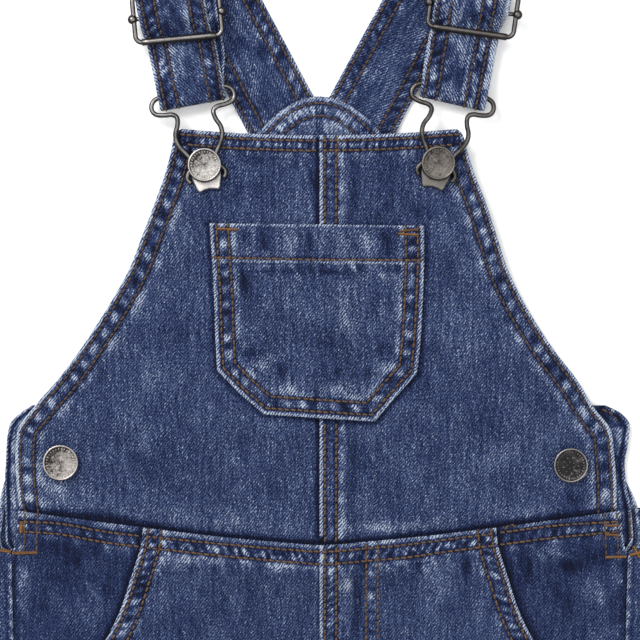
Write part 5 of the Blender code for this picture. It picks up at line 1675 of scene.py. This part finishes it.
def tubeParts(path, radius, around=16, closed=False):
    # a round bar along a path: points and faces, with softened ends
    path = np.array(path, dtype=float)
    ahead = np.roll(path, -1, axis=0) - np.roll(path, 1, axis=0)
    if not closed:
        ahead[0], ahead[-1] = path[1] - path[0], path[-1] - path[-2]
    ahead /= np.linalg.norm(ahead, axis=1)[:, None]
    sideways = np.cross(ahead[0], [0.0, 0.0, 1.0])
    rings = []
    for point, forward in zip(path, ahead):
        sideways = sideways - forward * np.dot(sideways, forward)
        sideways /= np.linalg.norm(sideways)
        rings.append((point, sideways, np.cross(forward, sideways), radius))
    if not closed:
        bevel = 0.3 * radius
        (start, *startWays, _), (end, *endWays, _) = rings[0], rings[-1]
        rings = [(start, *startWays, radius - bevel), (start + ahead[0] * bevel, *startWays, radius),
                 *rings[1:-1], (end - ahead[-1] * bevel, *endWays, radius), (end, *endWays, radius - bevel)]
    turn = 2 * np.pi * np.arange(around) / around
    cos, sin = np.cos(turn), np.sin(turn)
    points = [p + (np.outer(cos, s) + np.outer(sin, u)) * r for p, s, u, r in rings]
    return np.concatenate(points), tubeFaces(len(rings), around, closed)


def turnedParts(profile, around):
    # a turned piece about its own upright axis; radius 0 closes it
    turn = 2 * np.pi * np.arange(around) / around
    points, rings = [], []
    for radius, height in profile:
        rings.append(np.arange(1 if radius == 0.0 else around) + len(points))
        for t in turn[: 1 if radius == 0.0 else around]:
            points.append((radius * math.cos(t), radius * math.sin(t), height))
    faces = []
    for low, high in zip(rings, rings[1:]):
        for k in range(around):
            m = (k + 1) % around
            ring = [low[k % len(low)], low[m % len(low)], high[m % len(high)], high[k % len(high)]]
            faces.append(tuple(int(v) for v in dict.fromkeys(ring)))
    return np.array(points), faces


def laid(points, spot, tilt, base=0.0):
    # turned about its own upright axis and moved to its place on the garment
    cos, sin = math.cos(math.radians(tilt)), math.sin(math.radians(tilt))
    x, y = points[:, 0] * cos - points[:, 1] * sin, points[:, 0] * sin + points[:, 1] * cos
    return np.column_stack([x + spot[0], y + spot[1], points[:, 2] + base])


def makeMetal(node, ending, parts, spot, tilt, base, look, deepAndShadeOf, steep=(0.985, 0.8)):
    # bright on top, darker down its sides as they turn from up: painted shade and painted reflection, added
    # to the darkness it is given
    points, faces = joined(parts)
    placed = laid(points, spot, tilt, base)
    made = makeMesh(f"{node}_{ending}", placed, faces, {"deep": deepAndShadeOf(points)}, metals[look])
    made.data.set_sharp_from_angle(angle=math.radians(48))
    upward = np.empty(len(points) * 3, dtype=np.float32)
    made.data.vertex_normals.foreach_get("vector", upward)
    paintedSideShade = glide(upward[2::3], *steep)
    made.data.attributes["deep"].data.foreach_set("value", (deepAndShadeOf(points) + paintedSideShade).astype(np.float32))
    wear(made, node)


def makeSlide(sideName):
    row, lay = straps[sideName], strapLayout(sideName)
    w, h = metal["slideHalf"]
    c, z = metal["slideCorner"], metal["slideZ"]
    corners = ((w - c, h - c, 0), (c - w, h - c, 90), (c - w, c - h, 180), (w - c, c - h, 270))
    path = [(x + c * math.cos(math.radians(start + a)), y + c * math.sin(math.radians(start + a)), z)
            for x, y, start in corners for a in np.linspace(0, 90, 8)]
    parts = [tubeParts(path, metal["slideWire"], 14, closed=True)]
    sleeve = np.linspace((c - w - 0.5, -h, z), (w - c + 0.5, -h, z), 12)
    parts.append(tubeParts(sleeve, metal["sleeve"], 18))
    low = metal["middleBarZ"]
    parts.append(tubeParts(np.linspace((-w - 1.2, 0.0, low), (w + 1.2, 0.0, low), 8), metal["wire"], 14))
    profile = [(metal["knob"] * math.sin(t), -metal["knob"] * math.cos(t))
               for t in np.linspace(0.0, math.pi, 13)[1:-1]]
    ball = turnedParts(profile, 20)[0]
    for way in (-1, 1):
        parts.append((ball + (way * (w + 0.6), 0.0, z - 0.2), tubeFaces(len(profile), 20)))
    middle = lay["front"] - lay["down"] * row["slide"]
    spot = middle.x + row["slideAside"], middle.y

    def deepAndShadeOf(p):
        # a little darkness all over, then painted shade on the frame's lower half and on the sleeve's lower
        # side
        onSleeve = (np.abs(p[:, 1] + h) < 1.7) & (np.abs(p[:, 0]) < w - c + 1.0)
        return 0.1 + 0.4 * ramp(p[:, 2], z, z - 1.0) + 0.75 * onSleeve * glide(p[:, 1], 0.1 - h, -0.9 - h)

    makeMetal(f"slide_{sideName}", "frame", parts, spot, row["slideTilt"], 0.0, "wire_" + sideName, deepAndShadeOf)


def makeClasp(sideName):
    tilt, spot = straps[sideName]["claspTilt"], bibButtons[sideName]
    half = smoothPath(claspHalf, 6)
    bent = tubeParts(np.vstack([half[:0:-1] * (-1, 1, 1), half]), metal["wireShown"])
    makeMetal(f"clasp_wire_{sideName}", "bent", [bent], spot, tilt, 0.0, "wire_" + sideName,
              lambda p: 0.28 + 0.3 * speckle(p[:, 0], p[:, 1], 3.0, 5))


def bibTop(spot, wall):
    return float(bibLow(np.array(spot[0]), np.array(spot[1]))) + garment[wall] + garment["gap"]


def makePlate(sideName):
    # a small notched plate with a bevelled rim
    tilt, spot = straps[sideName]["claspTilt"], bibButtons[sideName]
    outline = np.array(list(plateHalf) + [(-x, y) for x, y in plateHalf[-2::-1]])
    around, hole, thick = 72, 3.1, 1.0
    rims = []
    for k in range(around):
        ray = (math.sin(2 * math.pi * k / around), math.cos(2 * math.pi * k / around))
        rims.append((ray, rayLength(ray, outline)))
    # height, inset from the rim, and how far on from there to the hole
    levels = [(0.0, 0.0, 0.0), (thick - 0.4, 0.0, 0.0), (thick, 0.45, 0.0)]
    levels += [(thick, 0.9, float(part)) for part in np.linspace(0.0, 1.0, 16)] + [(0.0, 0.9, 1.0)]
    points = []
    for z, inset, inward in levels:
        for ray, reach in rims:
            size = (reach - inset) * (1.0 - inward) + hole * inward
            points.append((ray[0] * size, ray[1] * size, z))
    faces = [(b, a, d, c) for a, b, c, d in tubeFaces(len(levels), around, closed=True)]
    # the plate is darkened in a crescent just round the button: painted shadow of the button
    makeMetal(f"clasp_plate_{sideName}", "notched", [(np.array(points), faces)], spot, tilt,
              bibTop(spot, "hemCloth"), "plate_" + sideName,
              lambda p: 1.05 * ramp(np.hypot(p[:, 0], p[:, 1]), 8.3, 7.6) - 0.05)


def rayLength(ray, outline):
    for (ax, ay), (bx, by) in zip(outline, np.roll(outline, -1, axis=0)):
        ex, ey = bx - ax, by - ay
        cross = ray[0] * ey - ray[1] * ex
        if abs(cross) < 1e-9:
            continue
        far = (ax * ey - ay * ex) / cross
        part = (ax * ray[1] - ay * ray[0]) / cross
        if far > 0.0 and -1e-6 <= part <= 1.0 + 1e-6:
            return far
    return 0.0


# faceDark and the left and right nickel of each kind are a brighter and a darker copy: the difference between
# the sides is painted shade
buttons = {
    "bib": {"spots": bibButtons, "radius": (7.45, 7.45), "shank": 3.1, "tilt": 20, "shadeFrom": 110,
            "faceDark": (0.43, 0.37), "look": "button_"},
    "side": {"spots": {"left": (-116.1, 36.9), "right": (112.6, 35.7)}, "radius": (7.95, 7.7), "shank": 0.7,
             "tilt": 35, "shadeFrom": 135, "faceDark": (0.55, 1.1), "look": "hip_"},
    "rim": (  # share of the radius, height over the shank
        (0.86, 0.0), (0.97, 0.35), (1.0, 0.8), (1.0, 1.35), (0.988, 1.74), (0.965, 1.95), (0.94, 1.99),
        (0.915, 1.93), (0.9, 1.75), (0.885, 1.62),
    ),
    "face": 0.87, "top": 1.62, "dish": 0.4, "neck": 2.4,
    "rings": (  # share of the radius, how many bars, their length
        (0.77, 30, 0.17), (0.45, 9, 0.16), (0.2, 5, 0.14),
    ),
    "bar": ((0.0, -0.2), (0.5, -0.1), (0.47, 0.12), (0.34, 0.22), (0.0, 0.25)), "barWidth": 0.62,
}


def makeButton(kind, sideName, side):
    # a thin rolled rim round a dished face with rings of small raised bars
    row, right = buttons[kind], int(side > 0)
    spot, radius, shank = row["spots"][sideName], row["radius"][right], row["shank"]
    faceDark, tilt = row["faceDark"][right], row["tilt"] * side

    def dished(part):
        return shank + buttons["top"] - buttons["dish"] * (1.0 - (part / buttons["face"]) ** 2)

    profile = [(0.0, 0.0), (buttons["neck"], 0.0), (buttons["neck"], shank)]
    profile += [(radius * part, shank + up) for part, up in buttons["rim"]]
    profile += [(radius * part, dished(part)) for part in np.linspace(buttons["face"], 0.03, 26)]
    profile.append((0.0, dished(0.0)))
    parts = [turnedParts(profile, 144)]
    bar, faces = turnedParts(buttons["bar"], 10)
    for ring, count, length in buttons["rings"]:
        for k in range(count):
            turn = 2 * math.pi * k / count
            reach = length * radius * (0.65 + 0.35 * ((k * 5) % 3) / 2)
            where = (ring * radius * math.cos(turn), ring * radius * math.sin(turn))
            scaled = bar * (reach, buttons["barWidth"], 1.0)
            parts.append((laid(scaled, where, math.degrees(turn), dished(ring)), faces))
    faceCount = len(parts[0][0])
    lightWay = math.radians(row["shadeFrom"] - tilt)

    def deepAndShadeOf(p):
        away = np.hypot(p[:, 0], p[:, 1]) / radius
        onFace = glide(away, 0.91, 0.885) * (p[:, 2] > shank + 0.9)
        marks = 0.55 + 0.45 * np.sin(36 * np.arctan2(p[:, 1], p[:, 0]))
        # a dirty ring among the bars, and a painted shadow line just inside the rim
        grimeAndShade = marks * np.exp(-(((away - 0.75) / 0.12) ** 4)) + 1.5 * hump(away - 0.895, 0.025)
        # painted shade: the face darker towards one side, the way that shadeFrom sets
        slant = (p[:, 0] * math.cos(lightWay) + p[:, 1] * math.sin(lightWay)) / radius
        stain = sum(speckle(p[:, 0], p[:, 1], size, 8) for size in (1.3, 0.7, 0.45))
        deep = onFace * (faceDark + 0.34 * grimeAndShade + 0.5 * slant + 0.2 * stain)
        # the bars take part of the face's darkness and the same painted shade
        deep[faceCount:] = 0.45 * faceDark + 0.3 * slant[faceCount:]
        return np.clip(deep, 0.0, 1.0)

    makeMetal(f"{kind}_button_{sideName}", "beaded", parts, spot, tilt, bibTop(spot, "cloth"),
              row["look"] + sideName, deepAndShadeOf, (0.75, 0.3))


for sideName, side in sides:
    makeSlide(sideName)
    makeClasp(sideName)
    makePlate(sideName)
    makeButton("bib", sideName, side)
    makeButton("side", sideName, side)
print("metal made")


# floor, light and camera
studio = {"floor": 40.0, "cameraHeight": 1.45, "viewWidth": 0.288, "aim": (0.0002, 0.14955), "sensor": 36.0}

floorMesh = bpy.data.meshes.new("floor")
reach = studio["floor"] / 2
corners = [(-reach, -reach, 0), (reach, -reach, 0), (reach, reach, 0), (-reach, reach, 0)]
floorMesh.from_pydata(corners, [], [(0, 1, 2, 3)])
floorMesh.materials.append(startMaterial("white_paper", {
    "Base Color": (0.95, 0.95, 0.95, 1.0), "Roughness": 0.95, "Specular IOR Level": 0.1})[0])
floor = link("floor", floorMesh)
floor.location.z = -0.0003

for row in later:
    dress(*row)


def addLight(name, size, power, location, aim=(0.0, 0.15, 0.0)):
    lamp = bpy.data.lights.new(name, "AREA")
    lamp.shape, lamp.size, lamp.energy = "SQUARE", size, power
    item = link(name, lamp)
    item.location = location
    item.rotation_euler = (Vector(aim) - Vector(location)).to_track_quat("-Z", "Y").to_euler()


addLight("key", 0.9, 34.0, (-0.9, 1.15, 1.25))
addLight("fill", 1.6, 16.0, (1.5, -0.5, 1.6))
world = bpy.data.worlds.new("studio")
scene.world = world
world.use_nodes = True
sky = Wire(world.node_tree)
height = sky.node("SeparateXYZ", {}, {0: sky.node("TexCoord")}, out=2)      # bright ceiling, dimmer walls
backdrop = world.node_tree.nodes["Background"]
backdrop.inputs["Color"].default_value = (1.0, 1.0, 1.0, 1.0)
plug(height.between(-0.1, 0.75) * 0.85 + 0.12, backdrop, "Strength")
scene.view_settings.view_transform = "Standard"

camera = bpy.data.cameras.new("camera")
camera.sensor_width = studio["sensor"]
camera.lens = studio["sensor"] * studio["cameraHeight"] / studio["viewWidth"]
cameraItem = link("camera", camera)
cameraItem.location = (*studio["aim"], studio["cameraHeight"])
scene.camera = cameraItem
print("stage set")
